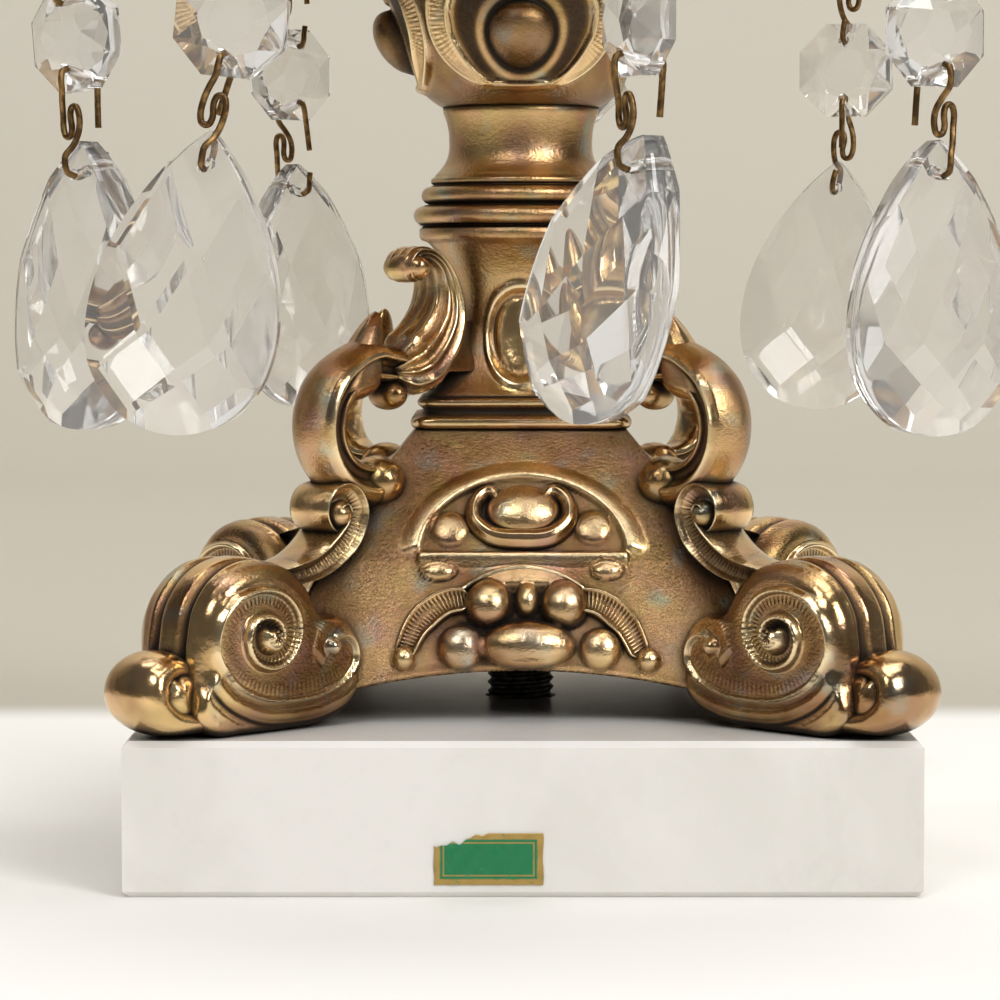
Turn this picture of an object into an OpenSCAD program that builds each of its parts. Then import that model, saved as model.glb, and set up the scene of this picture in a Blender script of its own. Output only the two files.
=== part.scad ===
// Girandole candle holder: a cast brass stem on a square marble plinth, with a cup for one
// candle and a drip pan hung with strands of cut crystal.
// Millimetres. +Z is up, the front faces -Y, the origin is the middle of the plinth's underside.

/* [Whole holder] */
// Height of the whole holder
height = 189.6; // [182:0.2:204]

/* [Marble plinth] */
// Width of the square plinth
marble_w = 102; // [98:1:108]
// Thickness of the plinth
marble_h = 20; // [18:1:26]
// Bevel along the plinth's edges
marble_bevel = 0.8; // [0.4:0.1:1.4]

/* [Rod and nuts] */
// Diameter of the threaded rod that ties the stem together
rod_d = 9.4; // [8.4:0.1:10]
// Play between the rod and each bore that it passes
rod_play = 0.3; // [0.2:0.05:0.5]
// Width of both nuts across their flats
nut_af = 15; // [14:0.5:16]
// Thickness of both nuts
nut_t = 4; // [3:0.5:5]
// Diameter of the washer under the plinth
washer_d = 22; // [20:0.5:26]
// Thickness of the washer under the plinth
washer_t = 1.6; // [1:0.1:2.4]

/* [Foot casting] */
// Height of the foot casting above the plinth, in proportion to the stem's other pieces
foot_part = 38; // [36:1:42]
// Half width of the foot's body at its skirt
foot_skirt = 32; // [30:0.5:34]
// Half width of the foot's body at its top
foot_top = 14.5; // [13:0.5:15]
// Thickness of the casting's walls
foot_wall = 3.4; // [2.4:0.2:4]
// Height of the arch under each side
foot_arch = 7; // [5:0.5:8]
// Distance of the scroll feet from the axis, along the diagonals
scroll_reach = 53.5; // [52:0.5:56]
// Radius of the scroll feet
scroll_r = 10.5; // [9.5:0.25:11.5]
// Width of the scroll feet over their three reeds
scroll_w = 15; // [13:0.5:17]
// Distance of the toes from the axis, along the diagonals
toe_reach = 67; // [65:0.5:68]
// Radius of the toes
toe_r = 5.2; // [4.5:0.1:5.6]

/* [Pedestal casting] */
// Height of the pedestal casting, in proportion to the stem's other pieces
pedestal_part = 28; // [26:1:32]
// Half width of the pedestal's moulding
moulding_w = 15.2; // [14.5:0.1:16]
// Half width of the pedestal's waist
waist_w = 8; // [7.5:0.25:9.5]
// Radius of the open C-scroll on each corner
c_scroll_r = 8.2; // [7.5:0.1:8.8]
// Thickness of the open C-scrolls
c_scroll_t = 5.4; // [4.4:0.2:5.8]

/* [Neck and knop] */
// Height of the ringed neck, in proportion to the stem's other pieces
neck_part = 16.4; // [15:0.2:20]
// Radius of the neck's lower ring
neck_ring_r = 15; // [14:0.5:16.5]
// Radius of the neck's waist
neck_r = 10; // [8.5:0.25:11]
// Height of the knop, in proportion to the stem's other pieces
knop_part = 38; // [34:1:44]
// Radius of the knop's belly
knop_r = 18.6; // [17:0.2:21]
// Radius of the round bosses on the knop
boss_r = 4.7; // [4:0.1:5.4]
// Height of the collar above the knop, in proportion to the stem's other pieces
collar_part = 9; // [7:0.5:12]

/* [Drip pan] */
// Radius of the circle on which the strands hang
hang_r = 67; // [65:0.5:70]
// Depth of the notches between the drip pan's lobes
lobe_depth = 5; // [2:0.5:7]
// Thickness of the drip pan's wall
pan_t = 1.6; // [1.2:0.1:2.2]
// Depth of the drip pan's dish
pan_dish = 2; // [1:0.1:3]
// Turn of the drip pan about the axis
pan_turn = 12; // [0:1:39]

/* [Candle cup] */
// Diameter of the candle
candle_d = 22; // [20:0.5:23]
// Play between the candle and its bore
candle_play = 0.3; // [0.2:0.05:0.6]
// Height of the candle cup, in proportion to the stem's other pieces
cup_part = 37; // [32:1:44]
// Wall of the candle cup at its mouth
cup_wall = 2; // [1.6:0.1:3]

/* [Crystal strands] */
// Diameter of the link wire
wire_d = 1; // [0.8:0.05:1.1]
// Play between the wire and each hole that it passes
wire_play = 0.3; // [0.2:0.05:0.4]
// Length of a link from hole to hole
link_len = 13.8; // [13.4:0.1:16]
// Width of an octagon across its flats
octagon_w = 14; // [13:0.25:16]
// Thickness of an octagon
octagon_t = 6; // [5:0.25:7]
// Height of a pear drop
drop_h = 38; // [34:0.5:40]
// Width of a pear drop
drop_w = 24; // [20:0.5:25]
// Thickness of a pear drop
drop_t = 10; // [8:0.5:11]

/* [Hidden] */
$fn = 64;
eps = 0.01;

// heights of the stem's pieces, shared out by their proportions
pan_hub_t = 2 * pan_t;
stem_parts = foot_part + pedestal_part + neck_part + knop_part + collar_part + cup_part;
stem_scale = (height - marble_h - pan_hub_t) / stem_parts;
foot_h = foot_part * stem_scale;
pedestal_h = pedestal_part * stem_scale;
neck_h = neck_part * stem_scale;
knop_h = knop_part * stem_scale;
collar_h = collar_part * stem_scale;
cup_h = cup_part * stem_scale;

// heights at which the pieces stack on the rod
z_foot = marble_h;
z_seat = z_foot + foot_h;
z_neck = z_seat + pedestal_h;
z_knop = z_neck + neck_h;
z_collar = z_knop + knop_h;
z_pan = z_collar + collar_h;
pan_hub_r = 12;
z_cup = z_pan + pan_hub_t;
z_hang = z_pan + pan_hub_t / 2;

bore_r = rod_d / 2 + rod_play;
nut_r = nut_af / 2 / cos(30);
cup_floor = 4;
nut_room = nut_t + 1.6;
recess_r = washer_d / 2 + 0.5;
recess_h = nut_t + washer_t + 3;
rod_tail = 1.5;
z_rod = recess_h - washer_t - nut_t - rod_tail;
rod_len = z_cup + cup_floor + nut_t + 0.8 - z_rod;

// pose of each strand: hole in the pan, turn of the octagons and of the drop about the
// vertical, lean of the lowest link, further lean of the drop, lean of the whole strand
strands = [
    [7, -38, -40, 0, -8, 6],
    [8, -12, -8, -5, 2, -6.5],
    [5, -139, -139, -3, -2, 0],
    [0, -62, -52, 4, -30, 0],
    [3, 165, 165, 6, 1, 0],
    [1, 30, 26, 0, 0, 0],
    [4, 172, 172, 0, 2, 0]
];
strand_parts = ["top_link", "upper_octagon", "middle_link", "lower_octagon", "lower_link", "drop"];

brass = "#8c6d3a";
dark_brass = "#6f5730";
glass = "#cfd8dc";
marble = "#e9e7e2";
steel = "#8d8f92";

// helpers

// a piece repeated on the four diagonals, drawn with X running outwards
module on_diagonals() {
    for (i = [0 : 3]) {
        rotate(45 + 90 * i) children();
    }
}

// a flat outline of X and Z, given a thickness across Y
module plate(points, w) {
    rotate([90, 0, 0]) linear_extrude(height = w, center = true) polygon(points);
}

// a square block whose half width follows rising [half width, z] points
module square_turned(half) {
    n = len(half);
    outline = concat(half, [for (i = [n - 1 : -1 : 0]) [-half[i][0], half[i][1]]]);
    span = 4 * max([for (p = half) p[0]]);
    intersection() {
        rotate([90, 0, 0]) linear_extrude(height = span, center = true) polygon(outline);
        rotate([90, 0, 90]) linear_extrude(height = span, center = true) polygon(outline);
    }
}

// a turned piece about the axis, bored from end to end
module turned(points, bore) {
    n = len(points);
    rotate_extrude() polygon(concat(
        [[bore, points[0][1]]], points, [[bore, points[n - 1][1]]]
    ));
}

// a round roll lying across the diagonal
module roll(r, w) {
    rotate([90, 0, 0]) rotate_extrude() polygon(
        [for (a = [-90 : 15 : 90]) [r * pow(max(cos(a), 0), 0.6), w / 2 * sin(a)]]
    );
}

module rod_bore() {
    translate([0, 0, -eps]) cylinder(r = bore_r, h = z_cup + cup_h);
}

// [radius, z] points of a waist or belly between two heights
function bow(r_end, r_mid, z0, z1, n = 10) =
    [for (i = [0 : n]) let (t = 2 * i / n - 1) [r_mid + (r_end - r_mid) * t * t, z0 + (z1 - z0) * i / n]];

// [radius, z] points of a rounded ring
function bead(r, t, z0, z1, n = 8) =
    [for (i = [0 : n]) let (a = -90 + 180 * i / n) [r - t + t * cos(a), (z0 + z1) / 2 + (z1 - z0) / 2 * sin(a)]];

// plinth and rod

module marble_plinth() {
    b = marble_bevel;
    w = marble_w / 2;
    color(marble) difference() {
        square_turned([[w - b, 0], [w, b], [w, marble_h - b], [w - b, marble_h]]);
        rod_bore();
        translate([0, 0, -eps]) cylinder(r = recess_r, h = recess_h + eps);
    }
}

module threaded_rod() {
    color(steel) translate([0, 0, z_rod]) cylinder(d = rod_d, h = rod_len);
}

module base_washer() {
    color(steel) translate([0, 0, recess_h - washer_t]) difference() {
        cylinder(d = washer_d, h = washer_t);
        translate([0, 0, -1]) cylinder(r = bore_r, h = washer_t + 2);
    }
}

module hex_nut() {
    difference() {
        cylinder(r = nut_r, h = nut_t, $fn = 6);
        translate([0, 0, -1]) cylinder(r = bore_r, h = nut_t + 2);
    }
}

module base_nut() {
    color(steel) translate([0, 0, recess_h - washer_t - nut_t]) hex_nut();
}

module cup_nut() {
    color(steel) translate([0, 0, z_cup + cup_floor]) hex_nut();
}

// foot casting

skirt_z = z_foot + foot_arch - 2;
scroll_z = z_foot + scroll_r + 2.1;
reed_r = scroll_w / 6 + 0.35;
reed_pitch = scroll_w / 3;
toe_z = z_foot + toe_r - 0.3;
wing_reach = 35.6;
wing_z = z_seat - 11.6;
wing_r = 2.8;
foot_roof = 6;

// half width of the foot's body at a height
function body_w(z) =
    let (t = min(max((z - skirt_z) / (z_seat - skirt_z), 0), 1))
    foot_skirt - (foot_skirt - foot_top) * pow(t, 1.55);

// the wound band on the sides of a scroll, closing in on its eye
function spiral(r, a) = [r * cos(a), r * sin(a)];

module scroll_band(r0, r1, a0, turn, w, n = 26) {
    inner = [for (i = [0 : n]) let (t = i / n) spiral(r0 + (r1 - r0) * t - w / 2, a0 + turn * t)];
    outer = [for (i = [n : -1 : 0]) let (t = i / n) spiral(r0 + (r1 - r0) * t + w / 2, a0 + turn * t)];
    polygon(concat(inner, outer));
}

module scroll_foot() {
    translate([scroll_reach, 0, scroll_z]) rotate([90, 0, 0]) {
        cylinder(r = scroll_r - 1, h = scroll_w - 3, center = true);
        for (i = [-1 : 1]) {
            translate([0, 0, i * reed_pitch]) rotate_extrude()
                translate([scroll_r - reed_r, 0]) circle(r = reed_r);
        }
        linear_extrude(height = scroll_w, center = true)
            scroll_band(scroll_r - 3.2, 1.9, 200, -600, 1.7);
        cylinder(r = 2, h = scroll_w + 0.8, center = true);
    }
    translate([toe_reach, 0, toe_z]) roll(toe_r, 2.5 * toe_r);
}

// the arm that carries a scroll foot, its tread on the plinth and the curl behind it
module foot_arm() {
    curl_x = scroll_reach - scroll_r - 2.6;
    curl_z = z_foot + 11.4;
    plate([
        [curl_x - 14, wing_z + 1],
        [curl_x, scroll_z + scroll_r - 0.5],
        [scroll_reach, scroll_z + scroll_r - 3],
        [scroll_reach + scroll_r - 2, scroll_z],
        [toe_reach, toe_z],
        [toe_reach, z_foot - 1],
        [scroll_reach - 6, z_foot - 1],
        [curl_x, z_foot + 4],
        [curl_x - 9, skirt_z + 3]
    ], scroll_w - 3.4);
    translate([curl_x, 0, curl_z]) rotate([90, 0, 0]) {
        cylinder(r = 3.4, h = scroll_w - 2, center = true);
        cylinder(r = 1.7, h = scroll_w, center = true);
    }
    translate([wing_reach, 0, wing_z]) roll(wing_r, 8);
    plate([
        [wing_reach - 7, wing_z - 1],
        [wing_reach - 0.5, wing_z + wing_r - 0.3],
        [wing_reach + 1.8, wing_z + 1.6],
        [curl_x + 6, scroll_z + scroll_r + 0.6],
        [scroll_reach, scroll_z + scroll_r - 1],
        [curl_x - 6, scroll_z + 4]
    ], 6);
}

module foot_body() {
    steps = 8;
    square_turned([for (i = [0 : steps])
        let (z = skirt_z + (z_seat - skirt_z) * i / steps) [body_w(z), z]]);
}

module foot_hollow() {
    steps = 6;
    z_top = z_seat - foot_roof;
    square_turned([for (i = [0 : steps])
        let (z = skirt_z - 2 + (z_top - skirt_z + 2) * i / steps) [body_w(z) - foot_wall, z]]);
}

// the arch under one side, as the segment of a wide cylinder
module foot_arches() {
    half = foot_skirt - 12;
    rise = foot_arch - 5;
    r = (half * half + rise * rise) / (2 * rise);
    for (i = [0 : 1]) {
        rotate(90 * i) translate([0, 0, z_foot + foot_arch - r]) rotate([90, 0, 0])
            cylinder(r = r, h = 4 * foot_skirt, center = true, $fn = 180);
    }
}

// bosses cast on one side of the body: place across, height above the plinth, radius
foot_bosses = [
    [-10.2, 25.2, 2.6], [9.2, 25.4, 2.6], [-4.4, 15.5, 3], [4.9, 15.5, 3],
    [-9, 10.6, 2.9], [-2.6, 10.7, 2.9], [3.4, 10.7, 2.9], [9.9, 10.6, 2.9]
];

module foot_relief() {
    for (i = [0 : 3]) {
        for (b = foot_bosses) {
            z = z_foot + b[1] * foot_h / foot_part;
            rotate(90 * i) translate([b[0], b[2] * 0.3 - body_w(z), z]) sphere(r = b[2]);
        }
    }
}

module foot_casting() {
    color(brass) difference() {
        union() {
            foot_body();
            foot_relief();
            on_diagonals() {
                scroll_foot();
                foot_arm();
            }
        }
        foot_hollow();
        foot_arches();
        rod_bore();
        translate([-marble_w, -marble_w, z_foot - marble_w]) cube([2 * marble_w, 2 * marble_w, marble_w]);
    }
}

// pedestal casting

c_x = foot_top * sqrt(2) + 9.6;
c_z = z_seat + 1;
bracket_x = c_x - 9;
bracket_z = z_neck - 6;

module c_scroll() {
    translate([c_x, 0, c_z]) {
        rotate([90, 0, 0]) rotate(-80) rotate_extrude(angle = 212)
            translate([c_scroll_r, 0]) circle(d = c_scroll_t);
        rotate([0, 80, 0]) translate([c_scroll_r, 0, 0]) sphere(d = c_scroll_t + 0.5);
        rotate([0, -132, 0]) translate([c_scroll_r, 0, 0]) {
            sphere(d = c_scroll_t);
            rotate([0, 132 - 90 - 4, 0]) cylinder(d = c_scroll_t, h = c_x - waist_w);
        }
    }
    translate([c_x + 0.8, 0, c_z + c_scroll_r - 1]) rotate([0, -22, 0])
        cylinder(d1 = c_scroll_t, d2 = 1.6, h = 8.4);
}

module leaf_bracket() {
    translate([bracket_x, 0, bracket_z]) roll(3.3, 8.4);
    plate([
        [waist_w - 2, z_seat + 5],
        [bracket_x + 0.6, z_seat + 7],
        [bracket_x + 2.6, z_seat + 12],
        [bracket_x + 1.2, z_seat + 17],
        [bracket_x, bracket_z + 3],
        [waist_w - 2, z_neck - 1.2]
    ], 6);
}

module pedestal_core() {
    w = moulding_w;
    z = z_seat;
    square_turned(concat(
        [[w - 0.6, z], [w, z + 0.8], [w, z + 1.8], [w - 1.6, z + 2.4], [w - 1.6, z + 3.2], [w - 1, z + 3.8]],
        [for (i = [0 : 8]) let (t = i / 8, s = 2 * t - 1)
            [waist_w + (s < 0 ? w - 2 - waist_w : 4.6) * s * s, z + 4.6 + (pedestal_h - 6.4) * t]],
        [[waist_w + 4.6, z_neck]]
    ));
}

module pedestal_casting() {
    color(dark_brass) difference() {
        union() {
            pedestal_core();
            translate([0, 0, z_neck - 2]) cylinder(r = neck_ring_r - 0.8, h = 2);
            on_diagonals() {
                c_scroll();
                leaf_bracket();
            }
        }
        rod_bore();
    }
}

// neck, knop and collar

module neck_spool() {
    color(brass) turned(concat(
        bead(neck_ring_r, 1.2, z_neck, z_neck + 2.6),
        bead(neck_ring_r - 1.6, 1.2, z_neck + 2.9, z_neck + 5.5),
        bow(neck_r + 1.6, neck_r, z_neck + 5.8, z_knop - 1),
        [[neck_r + 2, z_knop]]
    ), bore_r);
}

knop_low = neck_r + 2;
knop_high = 9;

// radius of the knop's body at a share of its height
function knop_at(t) =
    knop_low + (knop_high - knop_low) * t
    + (knop_r - (knop_low + knop_high) / 2) * pow(max(sin(180 * t), 0), 0.85);

module stem_knop() {
    boss_t = 0.24;
    color(dark_brass) difference() {
        union() {
            turned([for (i = [0 : 24]) [knop_at(i / 24), z_knop + knop_h * i / 24]], bore_r);
            for (i = [0 : 3]) {
                rotate(90 * i) translate([knop_at(boss_t) - 1.4, 0, z_knop + knop_h * boss_t])
                    sphere(r = boss_r);
            }
        }
        translate([0, 0, z_knop - boss_r]) cylinder(r = 2 * knop_r, h = boss_r);
        rod_bore();
    }
}

module knop_collar() {
    z = z_collar;
    color(brass) turned(concat(
        bead(knop_high + 1.6, 1.2, z, z + 2.4),
        bow(knop_high, knop_high - 1.2, z + 2.6, z + collar_h - 2.2),
        bead(knop_high + 1.2, 1, z + collar_h - 2, z + collar_h)
    ), bore_r);
}

// drip pan

holes = 9;
lug_r = 1.1;
lug_ring = lug_r + wire_d + 0.5 - wire_d / 2;
pan_r = hang_r - 2 * lug_ring - lug_r / 2;

// direction of a hole in the pan, from the front towards +X
function hole_turn(h) = pan_turn + 360 / holes * h;

// radius of the lobed rim, counted from a hole
function lobed(a) = pan_r - lobe_depth * (1 - pow(abs(cos(holes / 2 * a)), 0.8));

module drip_pan() {
    steps = 12;
    z_mid = z_hang;
    rim = pan_r + 1;
    dish = [for (i = [0 : steps]) let (r = pan_hub_r - 1 + (rim - pan_hub_r + 1) * i / steps)
        [r, z_mid - pan_dish * (1 - pow(r / rim, 2))]];
    color(brass) difference() {
        union() {
            intersection() {
                rotate_extrude() polygon(concat(
                    [for (p = dish) [p[0], p[1] - pan_t / 2]],
                    [for (i = [steps : -1 : 0]) [dish[i][0], dish[i][1] + pan_t / 2]]
                ));
                translate([0, 0, z_pan - 10]) linear_extrude(height = 20) polygon(
                    [for (a = [0 : 4 : 356]) lobed(a) * [sin(a + pan_turn), -cos(a + pan_turn)]]
                );
            }
            translate([0, 0, z_pan]) cylinder(r = pan_hub_r, h = pan_hub_t);
            for (h = [0 : holes - 1]) {
                rotate(hole_turn(h)) translate([0, -(hang_r - lug_ring), z_mid]) rotate_extrude()
                    translate([lug_ring, 0]) circle(r = lug_r);
            }
        }
        rod_bore();
    }
}

// candle cup

candle_r = candle_d / 2 + candle_play;

module candle_cup() {
    z = z_cup;
    base = candle_r + 0.6;
    mouth = candle_r + cup_wall;
    color(brass) difference() {
        turned(concat(
            bead(base + 1.2, 1, z, z + 2.2),
            bow(base, base - 0.6, z + 2.4, z + 7),
            bow(base + 1.2, mouth + 2.6, z + 7.4, z + cup_h * 0.66, 14),
            bow(mouth + 0.4, mouth - 0.4, z + cup_h * 0.68, z + cup_h - 4.4),
            bead(mouth + 3, 1.4, z + cup_h - 3.6, z + cup_h)
        ), bore_r);
        translate([0, 0, z + cup_floor]) cylinder(r = nut_r + 0.4, h = cup_h);
        translate([0, 0, z + cup_floor + nut_room]) cylinder(r = candle_r, h = cup_h);
    }
}

// crystal strands

wire_r = wire_d / 2;
eye_r = wire_r + wire_play;
octagon_edge = 2.2;
octagon_hole = octagon_w / 2 - 2.6;
octagon_table = octagon_w * 0.26;
drop_edge = 2.8;
drop_hole = 4.4;
drop_tip = 2.4;

// half thickness of the crystals where the wire passes
octagon_grip = octagon_edge / 2
    + (octagon_t - octagon_edge) / 2 * (octagon_w / 2 - octagon_hole) / (octagon_w / 2 - octagon_table);
drop_belly = drop_h - drop_w / 2;
drop_grip = drop_t / 2 - (drop_t - drop_edge) / 2 * pow(1 - drop_hole / drop_belly, 2) + 0.5;

// an angle brought between -180 and 180
function half_turn(a) = a - 360 * round(a / 360);

// a point turned about the vertical
function turn_z(p, a) = [p[0] * cos(a) - p[1] * sin(a), p[0] * sin(a) + p[1] * cos(a), p[2]];

// six points of a wire bending over into a hole and out again, legs at y and -y
function eye_bend(y, z, up) =
    [for (s = [1, -1]) for (q = s > 0 ? [[0, 0.85], [0.25, 0.25], [0.8, 0]] : [[0.8, 0], [0.25, 0.25], [0, 0.85]])
        [0, s * (y - q[0]), z + up * q[1]]];

// the flat S of a link, three strands side by side, between heights z1 and z0
function s_bends(y, z0, z1) =
    let (p = wire_d + 0.4, q = p / 2)
    concat(
        [[p, y, z0 - 0.9]],
        [for (a = [0 : -45 : -180]) [q + q * cos(a), y, z1 + q + q * sin(a)]],
        [for (a = [0 : 45 : 180]) [-q + q * cos(a), y, z0 - q + q * sin(a)]],
        [[-p, y, z1 + 0.9]]
    );

// a wire's route from the hole above to the hole below
function link_route(y_up, y_low, l) =
    concat(
        [[0.6, -y_up, -5.6], [0.2, -y_up, -2.4]],
        [for (i = [5 : -1 : 0]) eye_bend(y_up, 0, -1)[i]],
        [[0.1, y_up, -2.6], [0.8, (y_up + 2.2) / 2, -4.1]],
        s_bends(2.2, 4.9 - l + 4, 5 - l),
        [[-0.8, (y_low + 2.2) / 2, 3.6 - l], [-0.1, y_low, 2.4 - l]],
        eye_bend(y_low, -l, 1),
        [[0.2, -y_low, 2.6 - l], [0.5, -y_low, 4.4 - l]]
    );

// the top wire's route, looped through a lug of the pan
function hook_route(y_low, l, turn) =
    let (loop = lug_ring)
    concat(
        [for (a = [242 : -32 : -46]) turn_z([0, loop * cos(a), loop * sin(a)], turn)],
        [turn_z([0.5, 0.9, -3], turn / 2)],
        s_bends(1.8, 4.9 - l + 4, 5 - l),
        [[-0.8, (y_low + 2.2) / 2, 3.6 - l], [-0.1, y_low, 2.4 - l]],
        eye_bend(y_low, -l, 1),
        [[0.2, -y_low, 2.6 - l], [0.5, -y_low, 4.4 - l]]
    );

// the lower part of a route turned to face the next crystal
function eased(route, turn, l) =
    [for (p = route) turn_z(p, turn * min(max((-p[2] - 3.2) / (l - 6.4), 0), 1))];

// a round wire along a route
module wire(route, sides = 6) {
    n = len(route);
    heading = [for (i = [0 : n - 1])
        let (d = route[min(i + 1, n - 1)] - route[max(i - 1, 0)]) d / norm(d)];
    first = cross(heading[0], [1, 0.3, 0.2]);
    side = [for (i = 0, v = first / norm(first); i < n; i = i + 1,
        w = i < n ? v - (v * heading[i]) * heading[i] : v, v = w / norm(w)) v];
    points = [for (i = [0 : n - 1]) for (j = [0 : sides - 1])
        let (a = 360 * j / sides)
        route[i] + wire_r * (cos(a) * side[i] + sin(a) * cross(heading[i], side[i]))];
    walls = [for (i = [0 : n - 2]) for (j = [0 : sides - 1])
        let (k = (j + 1) % sides, a = i * sides, b = a + sides)
        each [[a + j, b + j, b + k], [a + j, b + k, a + k]]];
    ends = [
        [for (j = [0 : sides - 1]) j],
        [for (j = [sides - 1 : -1 : 0]) (n - 1) * sides + j]
    ];
    polyhedron(points, concat(walls, ends));
}

// a cut octagon: a small table on each face, triangles down to a thin girdle
module octagon_crystal() {
    r = octagon_w / 2 / cos(22.5);
    rings = [[r, octagon_edge / 2, 22.5], [octagon_table, octagon_t / 2, 0]];
    pts = concat(
        [for (s = [1, -1]) for (q = rings) for (i = [0 : 7])
            let (a = 45 * i + q[2]) [q[0] * cos(a), s * q[1], q[0] * sin(a)]]
    );
    tops = [for (i = [0 : 7]) let (j = (i + 1) % 8, h = (i + 7) % 8)
        each [[i, 8 + i, h], [i, 8 + j, 8 + i]]];
    backs = [for (f = tops) [f[0] + 16, f[2] + 16, f[1] + 16]];
    girdle = [for (i = [0 : 7]) let (j = (i + 1) % 8) each [[i, i + 16, j + 16, j]]];
    tables = [[for (i = [7 : -1 : 0]) 8 + i], [for (i = [0 : 7]) 24 + i]];
    difference() {
        polyhedron(pts, concat(tops, backs, [for (f = girdle) [f[3], f[2], f[1], f[0]]], tables));
        for (s = [1, -1]) {
            translate([0, 0, s * octagon_hole]) rotate([90, 0, 0])
                cylinder(r = eye_r, h = 2 * octagon_t, center = true, $fn = 32);
        }
    }
}

// the block beyond one facet of the drop, touching its domed face at x, z
module facet_cut(x, z, side) {
    rise = (drop_t - drop_edge) / 2;
    a = rise / pow(drop_w / 2, 2);
    b = rise / pow(z > 0 ? drop_belly : drop_w / 2, 2);
    h = drop_t / 2 - a * x * x - b * z * z;
    v = [2 * a * x, side, 2 * b * z];
    u = v / norm(v);
    translate([x, side * h, z - drop_belly]) rotate([0, acos(u[2]), atan2(u[1], u[0])])
        translate([-drop_h, -drop_h, 0]) cube(2 * drop_h);
}

// a pear drop with a lattice of lozenge facets on both faces, its tip at the origin
module drop_crystal() {
    step = drop_w * 0.19;
    long = step * drop_belly / (drop_w / 2);
    difference() {
        hull() {
            difference() {
                rotate([90, 0, 0]) linear_extrude(height = drop_t, center = true) hull() {
                    translate([0, -drop_belly]) circle(d = drop_w, $fn = 26);
                    translate([0, -drop_tip]) circle(r = drop_tip, $fn = 12);
                }
                for (side = [1, -1]) {
                    for (j = [-2 : 2]) {
                        for (i = [-2 : 2]) {
                            if ((i + j) % 2 == 0) facet_cut(i * step, j * (j > 0 ? long : step), side);
                        }
                    }
                }
            }
        }
        translate([0, 0, -drop_hole]) rotate([90, 0, 0])
            cylinder(r = eye_r, h = 2 * drop_t, center = true, $fn = 32);
    }
}

// a piece of strand k, drawn with its upper hole at the origin and its face along Y
module hung(k, down) {
    s = strands[k - 1];
    rotate(hole_turn(s[0])) translate([0, -hang_r, z_hang]) rotate(180 + s[1] - hole_turn(s[0]))
        rotate([0, s[5], 0]) translate([0, 0, -down]) children();
}

octagon_drop = 2 * octagon_hole;
second_hole = link_len + octagon_drop;
third_hole = second_hole + link_len + octagon_drop;

module top_link(k) {
    s = strands[k - 1];
    color(brass) hung(k, 0)
        wire(hook_route(octagon_grip + wire_play + wire_r, link_len, half_turn(hole_turn(s[0]) - s[1])));
}

module upper_octagon(k) {
    color(glass) hung(k, link_len + octagon_hole) octagon_crystal();
}

module middle_link(k) {
    y = octagon_grip + wire_play + wire_r;
    color(brass) hung(k, second_hole) wire(link_route(y, y, link_len));
}

module lower_octagon(k) {
    color(glass) hung(k, second_hole + link_len + octagon_hole) octagon_crystal();
}

module lower_link(k) {
    s = strands[k - 1];
    y_up = octagon_grip + wire_play + wire_r;
    y_low = drop_grip + wire_play + wire_r;
    color(brass) hung(k, third_hole) rotate([0, s[3], 0])
        wire(eased(link_route(y_up, y_low, link_len), s[2] - s[1], link_len));
}

module drop(k) {
    s = strands[k - 1];
    color(glass) hung(k, third_hole) rotate([0, s[3], 0]) translate([0, 0, -link_len])
        rotate(s[2] - s[1]) rotate([0, s[4], 0]) translate([0, 0, drop_hole]) drop_crystal();
}

marble_plinth();
foot_casting();
pedestal_casting();
neck_spool();
stem_knop();
knop_collar();
drip_pan();
candle_cup();
threaded_rod();
base_washer();
base_nut();
cup_nut();
for (k = [1 : len(strands)]) {
    top_link(k);
    upper_octagon(k);
    middle_link(k);
    lower_octagon(k);
    lower_link(k);
    drop(k);
}
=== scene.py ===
import math

import bmesh
import bpy
import numpy as np
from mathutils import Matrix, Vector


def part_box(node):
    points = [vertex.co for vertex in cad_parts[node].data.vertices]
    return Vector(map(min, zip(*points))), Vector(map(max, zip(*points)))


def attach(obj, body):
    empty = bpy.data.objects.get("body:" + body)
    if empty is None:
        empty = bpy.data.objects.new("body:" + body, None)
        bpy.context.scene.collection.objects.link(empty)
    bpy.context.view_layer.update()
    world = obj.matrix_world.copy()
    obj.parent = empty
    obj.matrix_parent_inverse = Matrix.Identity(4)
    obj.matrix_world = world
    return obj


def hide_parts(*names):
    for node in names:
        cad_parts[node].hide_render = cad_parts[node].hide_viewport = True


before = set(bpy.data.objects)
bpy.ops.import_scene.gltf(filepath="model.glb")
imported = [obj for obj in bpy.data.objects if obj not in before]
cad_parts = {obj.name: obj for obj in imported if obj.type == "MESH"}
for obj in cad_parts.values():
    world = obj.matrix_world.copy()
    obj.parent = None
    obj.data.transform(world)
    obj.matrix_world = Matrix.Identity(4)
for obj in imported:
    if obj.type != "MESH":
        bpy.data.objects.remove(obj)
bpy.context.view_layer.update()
scene = bpy.context.scene
scene.view_settings.view_transform = "Standard"
print("frame loaded, nodes:", len(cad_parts))

# all shapes are worked out in millimetres and written to the meshes in metres
mm = 0.001
tau = 2 * math.pi
quarter = math.pi / 2

# heights on the stem, read from the frame
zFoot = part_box("foot_casting")[0].z / mm
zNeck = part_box("neck_spool")[0].z / mm
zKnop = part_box("stem_knop")[0].z / mm
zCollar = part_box("knop_collar")[0].z / mm
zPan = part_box("knop_collar")[1].z / mm  # the pan's dish hangs below its hub
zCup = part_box("candle_cup")[0].z / mm
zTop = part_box("candle_cup")[1].z / mm
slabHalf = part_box("marble_plinth")[1].x / mm
footHigh = 38.0
zSeat = zFoot + footHigh  # the handles' lower curls hang below the pedestal's seat
boreRadius = 5.0
clear = 0.02  # stacked pieces stop this far short of each other


# numpy helpers

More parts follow.
